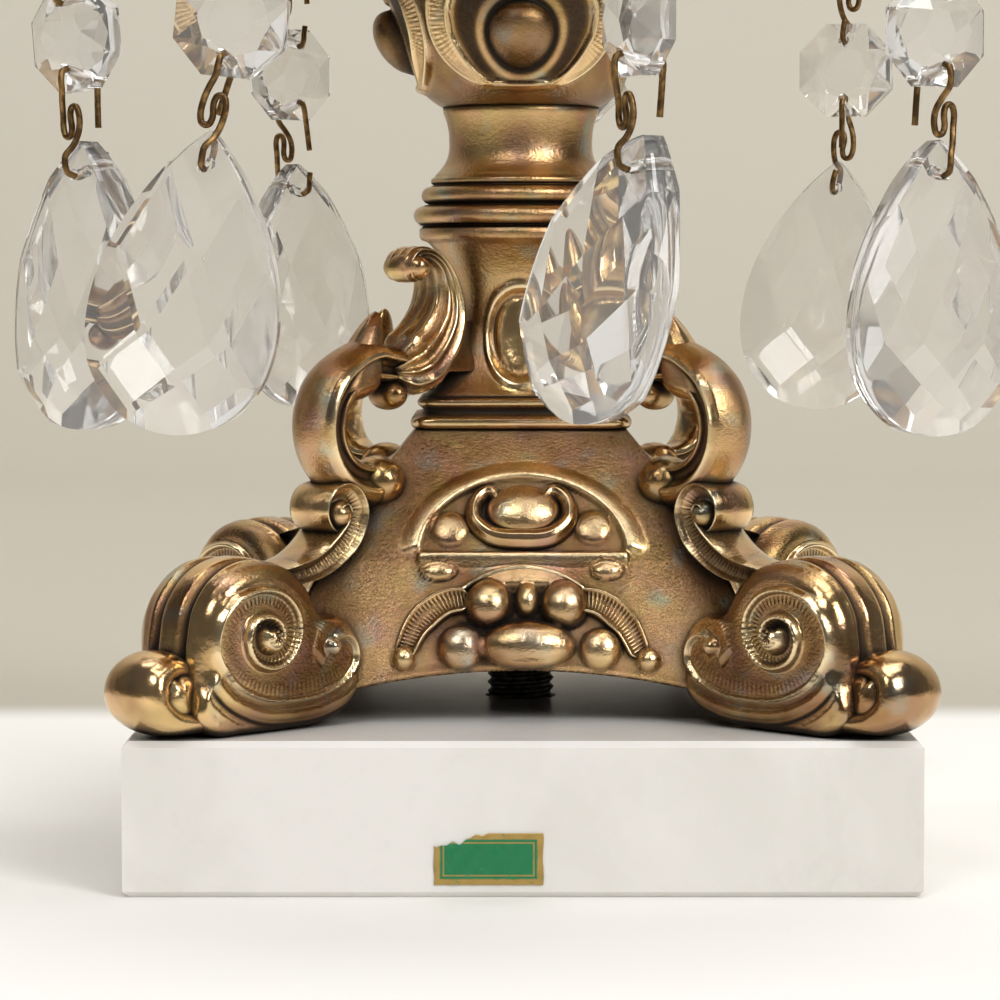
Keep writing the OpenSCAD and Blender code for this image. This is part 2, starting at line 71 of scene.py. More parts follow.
def ease(a, b, x):
    # smooth step: 0 at a, 1 at b, 3t^2 - 2t^3 between
    t = np.clip((np.asarray(x, float) - a) / (b - a), 0, 1)
    return t * t * (3 - 2 * t)


def dome(d, r):
    # half circle: height 1 at d = 0, upright at d = r
    return np.sqrt(np.clip(1 - (d / r) ** 2, 0, 1))


def hill(d, r):
    # bell: exp(-(d / r)^2)
    return np.exp(-(d / r) ** 2)


def oval(x, z, spot):
    # distance from an oval's middle, 1 on its outline; spot is x, z, half width, half height
    return np.hypot((x - spot[0]) / spot[2], (z - spot[1]) / spot[3])


def gridOf(x, y, z):
    # three arrays spread over one grid of points
    return np.stack(np.broadcast_arrays(x, y, z), axis=-1)


def ringOf(r, a, z):
    # points by radius, angle from +x and height
    return gridOf(r * np.cos(a), r * np.sin(a), z)


def frontRing(r, a, z):
    # points by radius, angle from the front and height
    return gridOf(r * np.sin(a), -r * np.cos(a), z)


def runOf(path):
    # length run at each point of a path
    return np.concatenate([[0], np.cumsum(np.linalg.norm(np.diff(path, axis=0), axis=1))])


def heading(path):
    # unit direction at each point of a path
    along = np.gradient(path, axis=0)
    return along / np.linalg.norm(along, axis=1)[:, None]


def curveThrough(points, count):
    # cubic run through given points, then spaced evenly along its length
    p = np.asarray(points, float)
    knots = runOf(p)
    slope = np.gradient(p, knots, axis=0)
    t = np.linspace(0, knots[-1], 16 * len(p))
    i = np.clip(np.searchsorted(knots, t, side="right") - 1, 0, len(p) - 2)
    h = (knots[i + 1] - knots[i])[:, None]
    s = (t - knots[i])[:, None] / h
    fine = ((2 * s**3 - 3 * s**2 + 1) * p[i] + (s**3 - 2 * s**2 + s) * h * slope[i]
            + (3 * s**2 - 2 * s**3) * p[i + 1] + (s**3 - s**2) * h * slope[i + 1])
    run = runOf(fine)
    even = np.linspace(0, run[-1], count)
    return np.stack([np.interp(even, run, fine[:, k]) for k in range(p.shape[1])], axis=1)


def nearestOnCurve(points, curve):
    # distance to the nearest segment of a curve, the share of its length there, and its side (left is +)
    start, seg = curve[:-1], np.diff(curve, axis=0)
    found = []
    for part in np.array_split(points, max(1, len(points) // 6000)):
        rel = part[:, None, :] - start[None]
        share = np.clip((rel * seg).sum(-1) / (seg**2).sum(-1), 0, 1)
        gap = rel - share[..., None] * seg
        dist = np.hypot(gap[..., 0], gap[..., 1])
        best = dist.argmin(1)
        row = np.arange(len(part))
        turn = seg[best, 0] * gap[row, best, 1] - seg[best, 1] * gap[row, best, 0]
        spot = (best + share[row, best]) / len(seg)
        found.append(np.stack([dist[row, best], spot, np.sign(turn)], axis=1))
    return np.concatenate(found).T


def turnZ(points, degrees):
    # points turned about the upright axis
    a = np.radians(degrees)
    x, y, z = np.moveaxis(points, -1, 0)
    return gridOf(np.cos(a) * x - np.sin(a) * y, np.sin(a) * x + np.cos(a) * y, z)


def lean(points, degrees):
    # points turned about the sideways axis of a crystal's face
    a = np.radians(degrees)
    x, y, z = np.moveaxis(points, -1, 0)
    return gridOf(np.cos(a) * x + np.sin(a) * z, y, np.cos(a) * z - np.sin(a) * x)


def turnGrids(grids, degrees):
    return [(turnZ(points, degrees), tone) for points, tone in grids]


def fourTimes(grids, first):
    # grids repeated on the four sides or diagonals
    return [grid for i in range(4) for grid in turnGrids(grids, first + 90 * i)]


def toned(points, tone, rest):
    # a grid whose first rows have tones of their own, and whose other rows share one
    tones = np.full(points.shape[:2], rest)
    tones[:len(tone)] = tone
    return points, tones


# meshes

merge = 1e-6  # points closer than this, in metres, become one


def gridFaces(rows, cols):
    # quads between the points of a grid
    ids = np.arange(rows * cols).reshape(rows, cols)
    return np.stack([ids[:-1, :-1], ids[1:, :-1], ids[1:, 1:], ids[:-1, 1:]], axis=-1).reshape(-1, 4)


def addPiece(name, grids, body, material, replaced=()):
    # grids of points become quads; doubled rows are merged, so that seams and poles close
    verts, faces, tones, start = [], [], [], 0
    for points, tone in grids:
        rows, cols = points.shape[:2]
        verts.append(points.reshape(-1, 3) * mm)
        faces.append(start + gridFaces(rows, cols))
        tones.append(np.clip(np.broadcast_to(tone, (rows, cols)), 0, 1).reshape(-1))
        start += rows * cols
    mesh = bpy.data.meshes.new(name)
    mesh.from_pydata(np.concatenate(verts), [], np.concatenate(faces).tolist())
    relief = mesh.attributes.new("relief", "FLOAT", "POINT")
    relief.data.foreach_set("value", np.concatenate(tones).astype(np.float32))
    work = bmesh.new()
    work.from_mesh(mesh)
    bmesh.ops.remove_doubles(work, verts=work.verts, dist=merge)
    bmesh.ops.dissolve_degenerate(work, edges=work.edges, dist=merge / 4)
    bmesh.ops.recalc_face_normals(work, faces=work.faces)
    work.to_mesh(mesh)
    work.free()
    mesh.shade_smooth()
    placePiece(name, mesh, body, material, replaced)


def placePiece(name, mesh, body, material, replaced=()):
    # an object for a mesh, on its body and with its finish
    piece = bpy.data.objects.new(name, mesh)
    scene.collection.objects.link(piece)
    mesh.materials.append(material)
    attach(piece, body)
    if replaced:
        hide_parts(*replaced)


def addBrass(name, grids, replaced=(), finish=None):
    # a brass piece of the stand
    addPiece(name, grids, "stand", finish or scrollBrass, replaced)


def finishNode(node, material):
    # a node that keeps its own mesh gets a better material
    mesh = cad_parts[node].data
    mesh.materials.clear()
    mesh.materials.append(material)


def turned(profile, around):
    # a closed outline of radius and z carried round the axis
    p = np.asarray(profile, float)
    return ringOf(p[:, :1], np.linspace(0, tau, around + 1), p[:, 1:])


def bored(outline, low, high):
    # an outline closed along the rod's bore
    return np.concatenate([[[boreRadius, low]], outline, [[boreRadius, high], [boreRadius, low]]])


def beadRing(radius, thick, low, high, count=14):
    # outline of a rounded ring
    a = np.linspace(-quarter, quarter, count)
    rise = (low + high) / 2 + (high - low) / 2 * np.sin(a)
    return np.stack([radius - thick + thick * np.cos(a), rise], axis=1)


def ball(x, z, radius, half, rows=37, power=1.0):
    # oval ball in the plane of reach and height: radius times a power of the latitude's cosine
    a = np.linspace(0, tau, 49)[:, None]
    lat = np.linspace(-quarter, quarter, rows)
    r = radius * np.cos(lat) ** power
    return gridOf(x + r * np.cos(a), half * np.sin(lat), z + r * np.sin(a)), 0.55


def roundEnds(run, length, first, last):
    # share of the full section along a run: quarter circles closing both ends
    a = np.clip(run / first, 0, 1)
    b = np.clip((length - run) / last, 0, 1)
    return np.sqrt(1 - (1 - a) ** 2) * np.sqrt(1 - (1 - b) ** 2)


def ribbon(path, section, thick, wide, firstEnd, lastEnd, hatch=None):
    # a closed section (outward, sideways, tone) carried along a path in the plane of reach and height;
    # hatch adds fine ticks across the sides: pitch, depth and the share of the run that has them
    run, along = runOf(path), heading(path)
    out = np.stack([along[:, 1], -along[:, 0]], axis=1)
    close = roundEnds(run, run[-1], firstEnd, lastEnd)[:, None]
    t = run[:, None] / run[-1]
    level, side, tone = section.T
    w = np.interp(t, *wide) * close * side
    if hatch:
        tick = np.cos(tau * run / hatch["pitch"])[:, None] * hill(level - hatch["level"], hatch["band"])
        tick = tick * (ease(*hatch["start"], t) * (1 - ease(*hatch["stop"], t)))
        w = w + np.sign(w) * hatch["depth"] * tick * close
        tone = tone + hatch["tone"] * tick
    n = np.interp(t, *thick) * close * level
    return gridOf(path[:, :1] + out[:, :1] * n, w, path[:, 1:] + out[:, 1:] * n), tone


def mirroredSection(count, width, shade):
    # a closed section from its half, which runs from the outer crest (+1) to the inner edge (-1)
    q = np.linspace(1, -1, count)
    w, tone = np.interp(q, *width), np.interp(q, *shade)
    both = np.concatenate([np.stack([q, w, tone], 1), np.stack([q, -w, tone], 1)[::-1]])
    return np.concatenate([both, both[:1]])


print("helpers ready")

# shader maths

class Sock:
    # a socket with arithmetic: each operator adds a Math node
    def __init__(self, tree, socket=None):
        self.tree, self.socket = tree, socket

    def node(self, kind, settings, sockets, out=0):
        made = self.tree.nodes.new(kind)
        for key, value in settings.items():
            setattr(made, key, value)
        for key, value in sockets.items():
            put(made.inputs[key], value)
        return Sock(self.tree, made.outputs[out])

    def reckon(self, operation, *values):
        return self.node("ShaderNodeMath", {"operation": operation}, dict(enumerate(values)))

    def __add__(self, other):
        return self.reckon("ADD", self, other)

    def __sub__(self, other):
        return self.reckon("SUBTRACT", self, other)

    def __rsub__(self, other):
        return self.reckon("SUBTRACT", other, self)

    def __mul__(self, other):
        return self.reckon("MULTIPLY", self, other)

    def __abs__(self):
        return self.reckon("ABSOLUTE", self)

    __radd__ = __add__
    __rmul__ = __mul__

    def larger(self, other):
        return self.reckon("MAXIMUM", self, other)

    def smaller(self, other):
        return self.reckon("MINIMUM", self, other)

    def within(self, low, high):
        # 0 below low, 1 above high, smooth between
        settings = {"interpolation_type": "SMOOTHSTEP"}
        return self.node("ShaderNodeMapRange", settings, {0: self, 1: low, 2: high, 3: 0.0, 4: 1.0})

    def past(self, edge, blur):
        # 0 before an edge, 1 past it
        return self.within(edge - blur, edge + blur)

    def mix(self, first, second):
        # colour mixed by this value
        return self.node("ShaderNodeMix", {"data_type": "RGBA"}, {0: self, 6: first, 7: second}, 2)

    def axis(self, which):
        # one coordinate of a vector
        return self.node("ShaderNodeSeparateXYZ", {}, {0: self}, which)


def put(socket, value):
    # a link or a fixed value for a socket
    if isinstance(value, Sock):
        value.tree.links.new(socket, value.socket)
    else:
        socket.default_value = value


def feed(shader, **values):
    # links or fixed values for the shader's own sockets
    for key, value in values.items():
        put(shader.inputs[key.replace("_", " ")], value)


def newMaterial(name):
    # a material, its shader and the place on the object in millimetres
    material = bpy.data.materials.new(name)
    material.use_nodes = True
    place = Sock(material.node_tree).node("ShaderNodeTexCoord", {}, {}, "Object")
    place = place.node("ShaderNodeVectorMath", {"operation": "SCALE"}, {0: place, "Scale": 1 / mm})
    return material, material.node_tree.nodes["Principled BSDF"], place


def noise(place, scale, detail=2.0, rough=0.5, out=0):
    sockets = {"Vector": place, "Scale": scale, "Detail": detail, "Roughness": rough}
    return place.node("ShaderNodeTexNoise", {}, sockets, out)


def openness(place, reach):
    # 1 in the open, 0 where walls within a reach in millimetres close in
    return place.node("ShaderNodeAmbientOcclusion", {"samples": 6}, {"Distance": reach * mm}, 1)


def bumped(height, strength, deep):
    # a normal bent by a height, deep in millimetres
    sockets = {"Strength": strength, "Distance": deep * mm, "Height": height}
    return height.node("ShaderNodeBump", {}, sockets)


def layered(color, layers):
    # colours laid over one another: mask, strength and colour of each layer
    for mask, strength, over in layers:
        color = (mask * strength).mix(color, over)
    return color


def rgb(red, green, blue):
    # screen colour, 0 to 255, as a linear one
    channels = [c / 255 for c in (red, green, blue)]
    return [c / 12.92 if c <= 0.04045 else ((c + 0.055) / 1.055) ** 2.4 for c in channels] + [1.0]


brassLook = {
    "bright": rgb(255, 234, 190), "mid": rgb(240, 203, 147), "brown": rgb(164, 125, 86),
    "sootAndShade": rgb(22, 15, 9), "shade": rgb(84, 58, 34), "rose": rgb(224, 168, 150),
    "olive": rgb(214, 200, 122), "steelBlue": rgb(150, 196, 200), "violet": rgb(190, 142, 170),
    "hollowReach": 3.2, "shadeReach": 11.0,
}


def castBrass(name, grain, polish):
    # antiqued casting: bright on ridges, soot with painted shade in hollows, painted shade in deep and low
    # places, faint tarnish tints, sandy grain on the ground
    material, shader, place = newMaterial(name)
    look = brassLook
    relief = place.node("ShaderNodeAttribute", {"attribute_name": "relief"}, {}, 2)
    worn = relief.within(0.46, 0.58)
    hollow = 1 - openness(place, look["hollowReach"]).within(0.30, 0.90)
    shade = 1 - openness(place, look["shadeReach"]).within(0.30, 0.95)
    speck = noise(place, 2.4, 3.0, 0.6)
    # soot and painted shade: darkest where the surface is enclosed within a few millimetres or low in
    # relief
    sootShade = hollow.larger(1 - relief.within(0.06, 0.40))
    sootShade = (sootShade * (0.75 + 0.5 * speck)).within(0.10, 0.80)
    blotch = noise(place, 0.07, 3.0, 0.55).within(0.34, 0.66)
    drift = noise(place, 0.20, 2.0, 0.45, 1)
    red, green, blue = (drift.node("ShaderNodeSeparateColor", {}, {0: drift}, i) for i in range(3))
    ground = (blotch * (0.48 + 0.52 * worn)).mix(look["brown"], look["mid"])
    color = layered(ground, [
        (red.within(0.48, 0.78), 0.32, look["rose"]),
        (green.within(0.46, 0.78), 0.36, look["olive"]),
        (blue.within(0.54, 0.80), 0.44, look["steelBlue"]),
        (1 - green.within(0.22, 0.48), 0.20, look["violet"]),
        (relief.within(0.54, 0.95), 0.80, look["bright"]),
        (shade, 0.62, look["shade"]),
        (1 - relief.within(0.26, 0.46), 0.72, look["shade"]),
        (sootShade, 0.94, look["sootAndShade"]),
    ])
    sand = noise(place, 2.4, 3.0, 0.70) - 0.5
    fine = noise(place, 0.8) - 0.5
    wave = noise(place, 0.32, 1.0) - 0.5
    height = sand * (grain * (1 - 0.88 * worn)) + fine * 0.45 + wave * 0.7
    rough = polish + 0.10 * speck + sootShade * 0.30 + shade * 0.08 - worn * 0.05
    feed(shader, Base_Color=color, Roughness=rough, Metallic=1 - sootShade * 0.45)
    feed(shader, Normal=bumped(height, 0.70, 0.16))
    return material


def drawnWire(name):
    # brown lacquered wire, worn a little brighter in places
    material, shader, place = newMaterial(name)
    worn = noise(place, 0.7, 3.0, 0.6).within(0.42, 0.66)
    lines = noise(place, 5.0)
    color = worn.mix(rgb(104, 80, 50), rgb(166, 132, 84))
    normal = bumped(lines, 0.2, 0.04)
    feed(shader, Base_Color=color, Roughness=0.30 + 0.2 * lines, Metallic=0.9, Normal=normal)
    return material


def cutGlass(name):
    # clear crystal with faint smears that catch the light on its faces
    material, shader, place = newMaterial(name)
    smear = noise(place, 0.16, 3.0, 0.6).within(0.52, 0.80)
    feed(shader, Base_Color=rgb(253, 252, 251), Roughness=0.004 + 0.03 * smear)
    feed(shader, IOR=1.56, Transmission_Weight=0.90)
    return material


marbleLook = {
    "white": rgb(240, 237, 233), "cloud": rgb(222, 219, 211), "vein": rgb(196, 194, 186),
    "mottle": rgb(228, 225, 218), "underShade": rgb(74, 66, 55), "underShadeReach": 24, "warp": (26, 26, 26),
}


def whiteMarble(name):
    # white stone: soft grey clouds, a few faint veins, mottled polish, painted shade on its top under the
    # casting
    material, shader, place = newMaterial(name)
    look = marbleLook
    warp = noise(place, 0.028, 3.0, 0.6, 1)
    settings = {"operation": "MULTIPLY_ADD"}
    bent = place.node("ShaderNodeVectorMath", settings, {0: warp, 1: look["warp"], 2: place})
    cloud = noise(bent, 0.022, 4.0, 0.55).within(0.46, 0.74)
    vein = 1 - abs(noise(bent, 0.035, 5.0, 0.6) - 0.5).within(0.0, 0.035)
    mottle = noise(place, 0.6, 4.0, 0.6)
    top = place.node("ShaderNodeNewGeometry", {}, {}, "Normal").axis(2).within(0.5, 0.9)
    # painted shade: upward faces darkened where the casting closes in over them
    underShade = (1 - openness(place, look["underShadeReach"]).within(0.10, 0.70)) * top
    color = layered((cloud * 0.75).mix(look["white"], look["cloud"]), [
        (vein * cloud, 0.14, look["vein"]),
        (mottle.within(0.5, 0.75), 0.16, look["mottle"]),
        (underShade, 0.70, look["underShade"]),
    ])
    feed(shader, Base_Color=color, Roughness=0.26 + 0.16 * mottle, Normal=bumped(mottle, 0.10, 0.08))
    feed(shader, Subsurface_Weight=0.12, Subsurface_Scale=2 * mm)
    return material


def dullSteel(name):
    # plated steel gone dark, with oil in the thread
    material, shader, place = newMaterial(name)
    stain = noise(place, 0.35, 4.0, 0.6)
    color = stain.within(0.38, 0.68).mix(rgb(62, 56, 50), rgb(118, 112, 104))
    normal = bumped(stain, 0.2, 0.05)
    feed(shader, Base_Color=color, Roughness=0.34 + 0.25 * stain, Metallic=0.9, Normal=normal)
    return material


bodyBrass = castBrass("sandCastBrass", 4.6, 0.20)
scrollBrass = castBrass("burnishedBrass", 0.9, 0.17)
wireBrass = drawnWire("lacqueredWire")
crystal = cutGlass("cutCrystal")
marble = whiteMarble("whiteMarble")
steel = dullSteel("dullSteel")
print("materials ready")

# camera and studio

shot = {
    # place in metres, pitch in degrees, focal length and image in pixels, sensor in millimetres
    "place": (-0.0029, -0.500, 0.079), "pitch": 3.6, "focal": 3560, "image": 1000, "sensor": 36,
    "near": 0.01,
}


def addCamera():
    lens = bpy.data.cameras.new("photoView")
    lens.sensor_width = shot["sensor"]
    lens.lens = shot["focal"] * shot["sensor"] / shot["image"]
    lens.clip_start = shot["near"]
    view = bpy.data.objects.new("photoView", lens)
    view.location = shot["place"]
    view.rotation_euler = (math.radians(90 - shot["pitch"]), 0, 0)
    scene.collection.objects.link(view)
    scene.camera = view


studio = {
    "tableBack": 143.0, "tableFront": -180.0, "tableSide": 270.0, "blur": 14.0, "soft": 60.0,
    "wallAt": 1300.0, "cove": 420.0, "near": -3600.0, "half": 3600.0, "high": 2600.0,
    "table": rgb(246, 244, 240), "wallLow": rgb(189, 183, 169), "wallHigh": rgb(206, 200, 187),
    "tooth": rgb(214, 210, 202), "room": (0.11, 0.105, 0.10, 1.0), "throughGlass": (0.80, 0.78, 0.74, 1.0),
}
lamps = [
    # name, place, aim, width, height, watts, colour
    ("windowRight", (2.10, -2.55, 2.14), (0, 0, 0.07), 1.35, 1.80, 71.0, (1.0, 0.995, 0.985)),
    ("softAbove", (-0.80, -1.75, 1.90), (0, 0, 0.07), 0.80, 0.80, 13.0, (0.99, 0.995, 1.0)),
    ("overhead", (0.25, -0.20, 2.50), (0, 0, 0.05), 2.00, 1.60, 33.6, (0.985, 0.995, 1.0)),
    ("wallWash", (0.0, 0.60, 2.00), (0, 1.3, 0.35), 2.20, 0.50, 10.6, (1.0, 0.995, 0.985)),
]


def sweepMaterial():
    # white table top with soft ends; past them the floor has the warm grey of the wall
    material, shader, place = newMaterial("tableAndWall")
    back, side = place.axis(1), abs(place.axis(0))
    behind = back.past(studio["tableBack"], studio["blur"])
    ahead = 1 - back.past(studio["tableFront"], studio["soft"])
    beside = side.past(studio["tableSide"], studio["soft"])
    # painted light: the wall grows lighter with height up the cove
    wall = place.axis(2).within(0.0, studio["cove"]).mix(studio["wallLow"], studio["wallHigh"])
    color = behind.larger(ahead).larger(beside).mix(studio["table"], wall)
    color = layered(color, [(noise(place, 0.12), 0.03, studio["tooth"])])
    feed(shader, Base_Color=color, Roughness=0.7, Specular_IOR_Level=0.2)
    return material


def addSweep():
    # floor and wall in one sheet, joined by a quarter circle
    bend = np.linspace(0, quarter, 24)
    lift, wallAt = studio["cove"], studio["wallAt"]
    y = np.concatenate([[studio["near"], 0], wallAt - lift + lift * np.sin(bend), [wallAt]])
    z = np.concatenate([[0, 0], lift - lift * np.cos(bend), [studio["high"]]])
    rows = gridOf(np.linspace(-studio["half"], studio["half"], 3), y[:, None], z[:, None]) * mm
    mesh = bpy.data.meshes.new("studioSweep")
    mesh.from_pydata(rows.reshape(-1, 3), [], gridFaces(*rows.shape[:2])[:, ::-1].tolist())
    mesh.shade_smooth()
    mesh.materials.append(sweepMaterial())
    sweep = bpy.data.objects.new("studioSweep", mesh)
    scene.collection.objects.link(sweep)


def addLamps():
    for name, place, aim, width, height, watts, color in lamps:
        light = bpy.data.lights.new(name, "AREA")
        light.shape, light.size, light.size_y = "RECTANGLE", width, height
        light.energy, light.color = watts, color
        lamp = bpy.data.objects.new(name, light)
        lamp.location = place
        away = np.array(place) - np.array(aim)
        flat = math.hypot(away[0], away[1])
        lamp.rotation_euler = (math.atan2(flat, away[2]), 0, math.atan2(away[0], -away[1]))
        scene.collection.objects.link(lamp)


def addRoom():
    # the dim room gives the metal its contrast; seen through the crystals it is bright
    world = bpy.data.worlds.new("softRoom")
    world.use_nodes = True
    through = Sock(world.node_tree).node("ShaderNodeLightPath", {}, {}, "Is Transmission Ray")
    room = through.mix(studio["room"], studio["throughGlass"])
    put(world.node_tree.nodes["Background"].inputs["Color"], room)
    scene.world = world


addCamera()
addSweep()
addLamps()
addRoom()
print("camera and studio ready")

# plinth, rod and label

finishNode("marble_plinth", marble)
for node in ("base_washer", "base_nut", "cup_nut"):
    finishNode(node, steel)

label = {
    "left": -11.3, "right": 2.6, "low": 1.7, "high": 8.3, "thick": 0.14, "tear": 1.5, "border": 0.75,
    "borderBlur": 0.12, "line": (1.10, 1.30), "lineBlur": 0.05, "lift": 0.05,
    "green": rgb(20, 122, 74), "gilt": rgb(190, 158, 92), "rubbed": rgb(60, 140, 98),
    "bare": rgb(206, 186, 140),
}


def foilLabel():
    # blank gummed foil: green field, gilt border, its upper left corner torn and rubbed
    material, shader, place = newMaterial("gummedFoil")
    x, z = place.axis(0), place.axis(2)
    middle, level = (label["left"] + label["right"]) / 2, (label["low"] + label["high"]) / 2
    halfX, halfZ = (label["right"] - label["left"]) / 2, (label["high"] - label["low"]) / 2
    inside = (halfX - abs(x - middle)).smaller(halfZ - abs(z - level))
    wear = noise(place, 1.1, 4.0, 0.65)
    border = 1 - (inside + (wear - 0.5) * 0.25).past(label["border"], label["borderBlur"])
    first, last = label["line"]
    line = inside.past(first, label["lineBlur"]) * (1 - inside.past(last, label["lineBlur"]))
    gilt = border.larger(line * 0.8)
    corner = (z - x * 0.5).within(12.2, 13.6) * wear.within(0.30, 0.55)
    color = gilt.mix(label["green"], label["gilt"])
    color = layered(color, [(wear.within(0.56, 0.72), 0.5, label["rubbed"])])
    color = corner.mix(color, label["bare"])
    normal = bumped(wear, 0.3, 0.06)
    feed(shader, Base_Color=color, Roughness=0.28 + 0.25 * wear, Metallic=gilt * 0.75, Normal=normal)
    return material


def addLabel():
    # two grids, front and back, that share a ragged outline
    u, v = np.meshgrid(np.linspace(0, 1, 90), np.linspace(0, 1, 40))
    ragged = 0.22 * np.sin(31 * u) + 0.14 * np.sin(57 * u + 1)
    torn = (1 - ease(0.10, 0.52, u)) * label["tear"] + (1 - ease(0.3, 0.6, u)) * ragged
    top = label["high"] - np.maximum(torn, 0)
    x = label["left"] + (label["right"] - label["left"]) * u + 0.06 * np.sin(9 * v)
    z = label["low"] + (top - label["low"]) * v
    lift = label["lift"] * (np.sin(2.3 * x) * np.sin(1.9 * z + 1) + hill(u - 0.1, 0.12) * v)
    front = gridOf(x, -slabHalf - label["thick"] - 0.06 - lift, z)
    back = gridOf(x, -slabHalf + clear, z)
    edges = (np.s_[0], np.s_[-1], np.s_[:, 0], np.s_[:, -1])
    rim = [np.stack([front[edge], back[edge]]) for edge in edges]
    addBrass("blank_label", [(g, 0.5) for g in [front, back] + rim], finish=foilLabel())


rod = {"pitch": 1.25, "depth": 0.55, "rows": 640, "around": 28, "tip": 0.86, "lead": 4.0}


def addRod():
    # screw thread: radius falls with the height's share of a pitch, shifted by the turn about the axis
    low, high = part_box("threaded_rod")
    radius = high.x / mm
    z = np.linspace(low.z / mm, high.z / mm, rod["rows"])[:, None]
    a = np.linspace(0, tau, rod["around"] + 1)
    tooth = 1 - np.abs(2 * np.mod(z / rod["pitch"] - a / tau, 1) - 1)
    r = radius - rod["depth"] * np.clip(1.25 * tooth - 0.1, 0, 1)
    for fromEnd in (z - z[0], z[-1] - z):
        r = r * np.minimum(1, rod["tip"] + fromEnd / rod["lead"])
    wall = ringOf(r, a, z)
    ends = [np.stack([wall[i], wall[i] * [0, 0, 1]]) for i in (0, -1)]
    grids = [(g, 0.5) for g in [wall] + ends]
    addPiece("threaded_rod_turned", grids, "stand", steel, ["threaded_rod"])


addLabel()
addRod()
print("plinth ready")

# foot casting: body with relief panels

foot = {
    "skirt": 32.0, "top": 14.5, "wall": 2.8, "skirtZ": 25.0, "curve": 1.55, "roof": 6.0, "lipZ": 26.9,
    "lipBead": 0.55, "lipGap": 0.15, "archRadius": 101.0, "columns": 150, "rows": 128, "innerRows": 14,
    # tone of the seat and the inside: soot and painted shade in the hollow body
    "sootAndShade": 0.10,
}


def bodyHalf(z):
    # half width of the body: falls from the skirt to the seat by a power of the height's share
    t = np.clip((z - foot["skirtZ"]) / (zSeat - foot["skirtZ"]), 0, 1)
    return foot["skirt"] - (foot["skirt"] - foot["top"]) * t ** foot["curve"]


def panelPoint(x, z, lift):
    # a point lifted off the front panel along its normal
    step = 0.05
    slope = (bodyHalf(z + step) - bodyHalf(z - step)) / (2 * step)
    size = np.sqrt(1 + slope**2)
    return gridOf(x, -bodyHalf(z) - lift / size, z - lift * slope / size)


panel = {
    # x, z, half width, half height and lift of each boss and bead
    "bosses": [
        [-9.6, 45.0, 2.7, 2.3, 1.0], [9.6, 45.2, 2.7, 2.3, 1.0], [-11.1, 39.7, 2.3, 1.2, 0.9],
        [11.3, 39.8, 2.1, 1.2, 0.9], [-4.4, 35.5, 3.1, 3.0, 2.7], [5.6, 35.4, 3.1, 3.0, 2.7],
        [0.7, 35.9, 1.6, 2.2, 2.0], [-8.0, 29.9, 3.2, 2.9, 2.3], [0.8, 30.1, 6.4, 3.2, 3.2],
        [10.4, 29.7, 2.8, 2.7, 2.2], [16.8, 28.3, 1.6, 1.6, 1.6], [-15.6, 28.5, 1.6, 1.6, 1.6],
        [0.2, 47.3, 5.0, 3.3, 2.4],
    ],
    "lunette": {"spot": [0.2, 41.6, 14.2, 10.2], "radius": 12.0, "deep": 1.9, "border": 1.0},
    "crescent": {"spot": [0.4, 37.6, 7.4, 3.4], "lift": 0.9},
}


def panelRelief(x, z):
    # height of the cast ornament over the panel, and its tone: the tallest of the bosses at each point
    lunette, crescent = panel["lunette"], panel["crescent"]
    out = (oval(x, z, lunette["spot"]) - 1) * lunette["radius"]
    low = z - lunette["spot"][1]
    sunk = (1 - ease(-1.3, -0.3, out)) * ease(0.2, 1.3, low)
    crest = np.where(out < 0, hill(out, 0.9), hill(out, 2.0)) * ease(-0.4, 1.2, low)
    sill = np.where(low < 0, hill(low, 1.5), hill(low, 0.9)) * (1 - ease(-0.4, 0.4, out))
    border = np.maximum(crest, sill)
    lift = lunette["border"] * border - lunette["deep"] * sunk
    tone = 0.42 - 0.12 * sunk + 0.38 * border
    for *spot, up in panel["bosses"]:
        d = oval(x, z, spot)
        swell = up * dome(d, 1.0) ** 0.9
        tone = np.where(swell > lift, 0.52 + 0.22 * dome(d, 1.0) ** 2, tone - 0.30 * hill(d - 1.08, 0.10))
        lift = np.maximum(lift, swell)
    level = crescent["spot"][1]
    half = dome(oval(x, z, crescent["spot"]), 1.0) * ease(level - 0.6, level + 0.5, z)
    lift = np.maximum(lift, crescent["lift"] * half)
    return lift, np.where(crescent["lift"] * half >= lift, 0.50 + 0.15 * half, tone)


def lipHeight(x):
    # lower edge of a side: an arc, falling from the middle to the corners
    return foot["lipZ"] - x**2 / (2 * foot["archRadius"])


def bodySide():
    # one side of the hollow body: outside up, seat, inside down, lip; columns closer at the ornament
    u = np.linspace(-1, 1, foot["columns"] + 1)[None]
    u = 0.72 * u + 0.28 * u**3
    start = lipHeight(u * foot["skirt"])
    z = start + (zSeat - start) * np.linspace(0, 1, foot["rows"])[:, None]
    x = u * bodyHalf(z)
    lift, tone = panelRelief(x, z)
    bead = foot["lipBead"] * hill((z - start) - 0.5, 0.6)
    outside = panelPoint(x, z, (lift + bead) * (1 - ease(0.84, 0.97, np.abs(u))))
    roof = zSeat - foot["roof"]
    zIn = start + foot["lipGap"] + (roof - start) * np.linspace(1, 0, foot["innerRows"])[:, None]
    half = bodyHalf(zIn) - foot["wall"]
    inside = gridOf(u * half, -half, zIn)
    seat, under = (gridOf(u * boreRadius, -boreRadius, level) for level in (zSeat, roof + foot["lipGap"]))
    return toned(np.concatenate([outside, seat, under, inside, outside[:1]]), tone, foot["sootAndShade"])


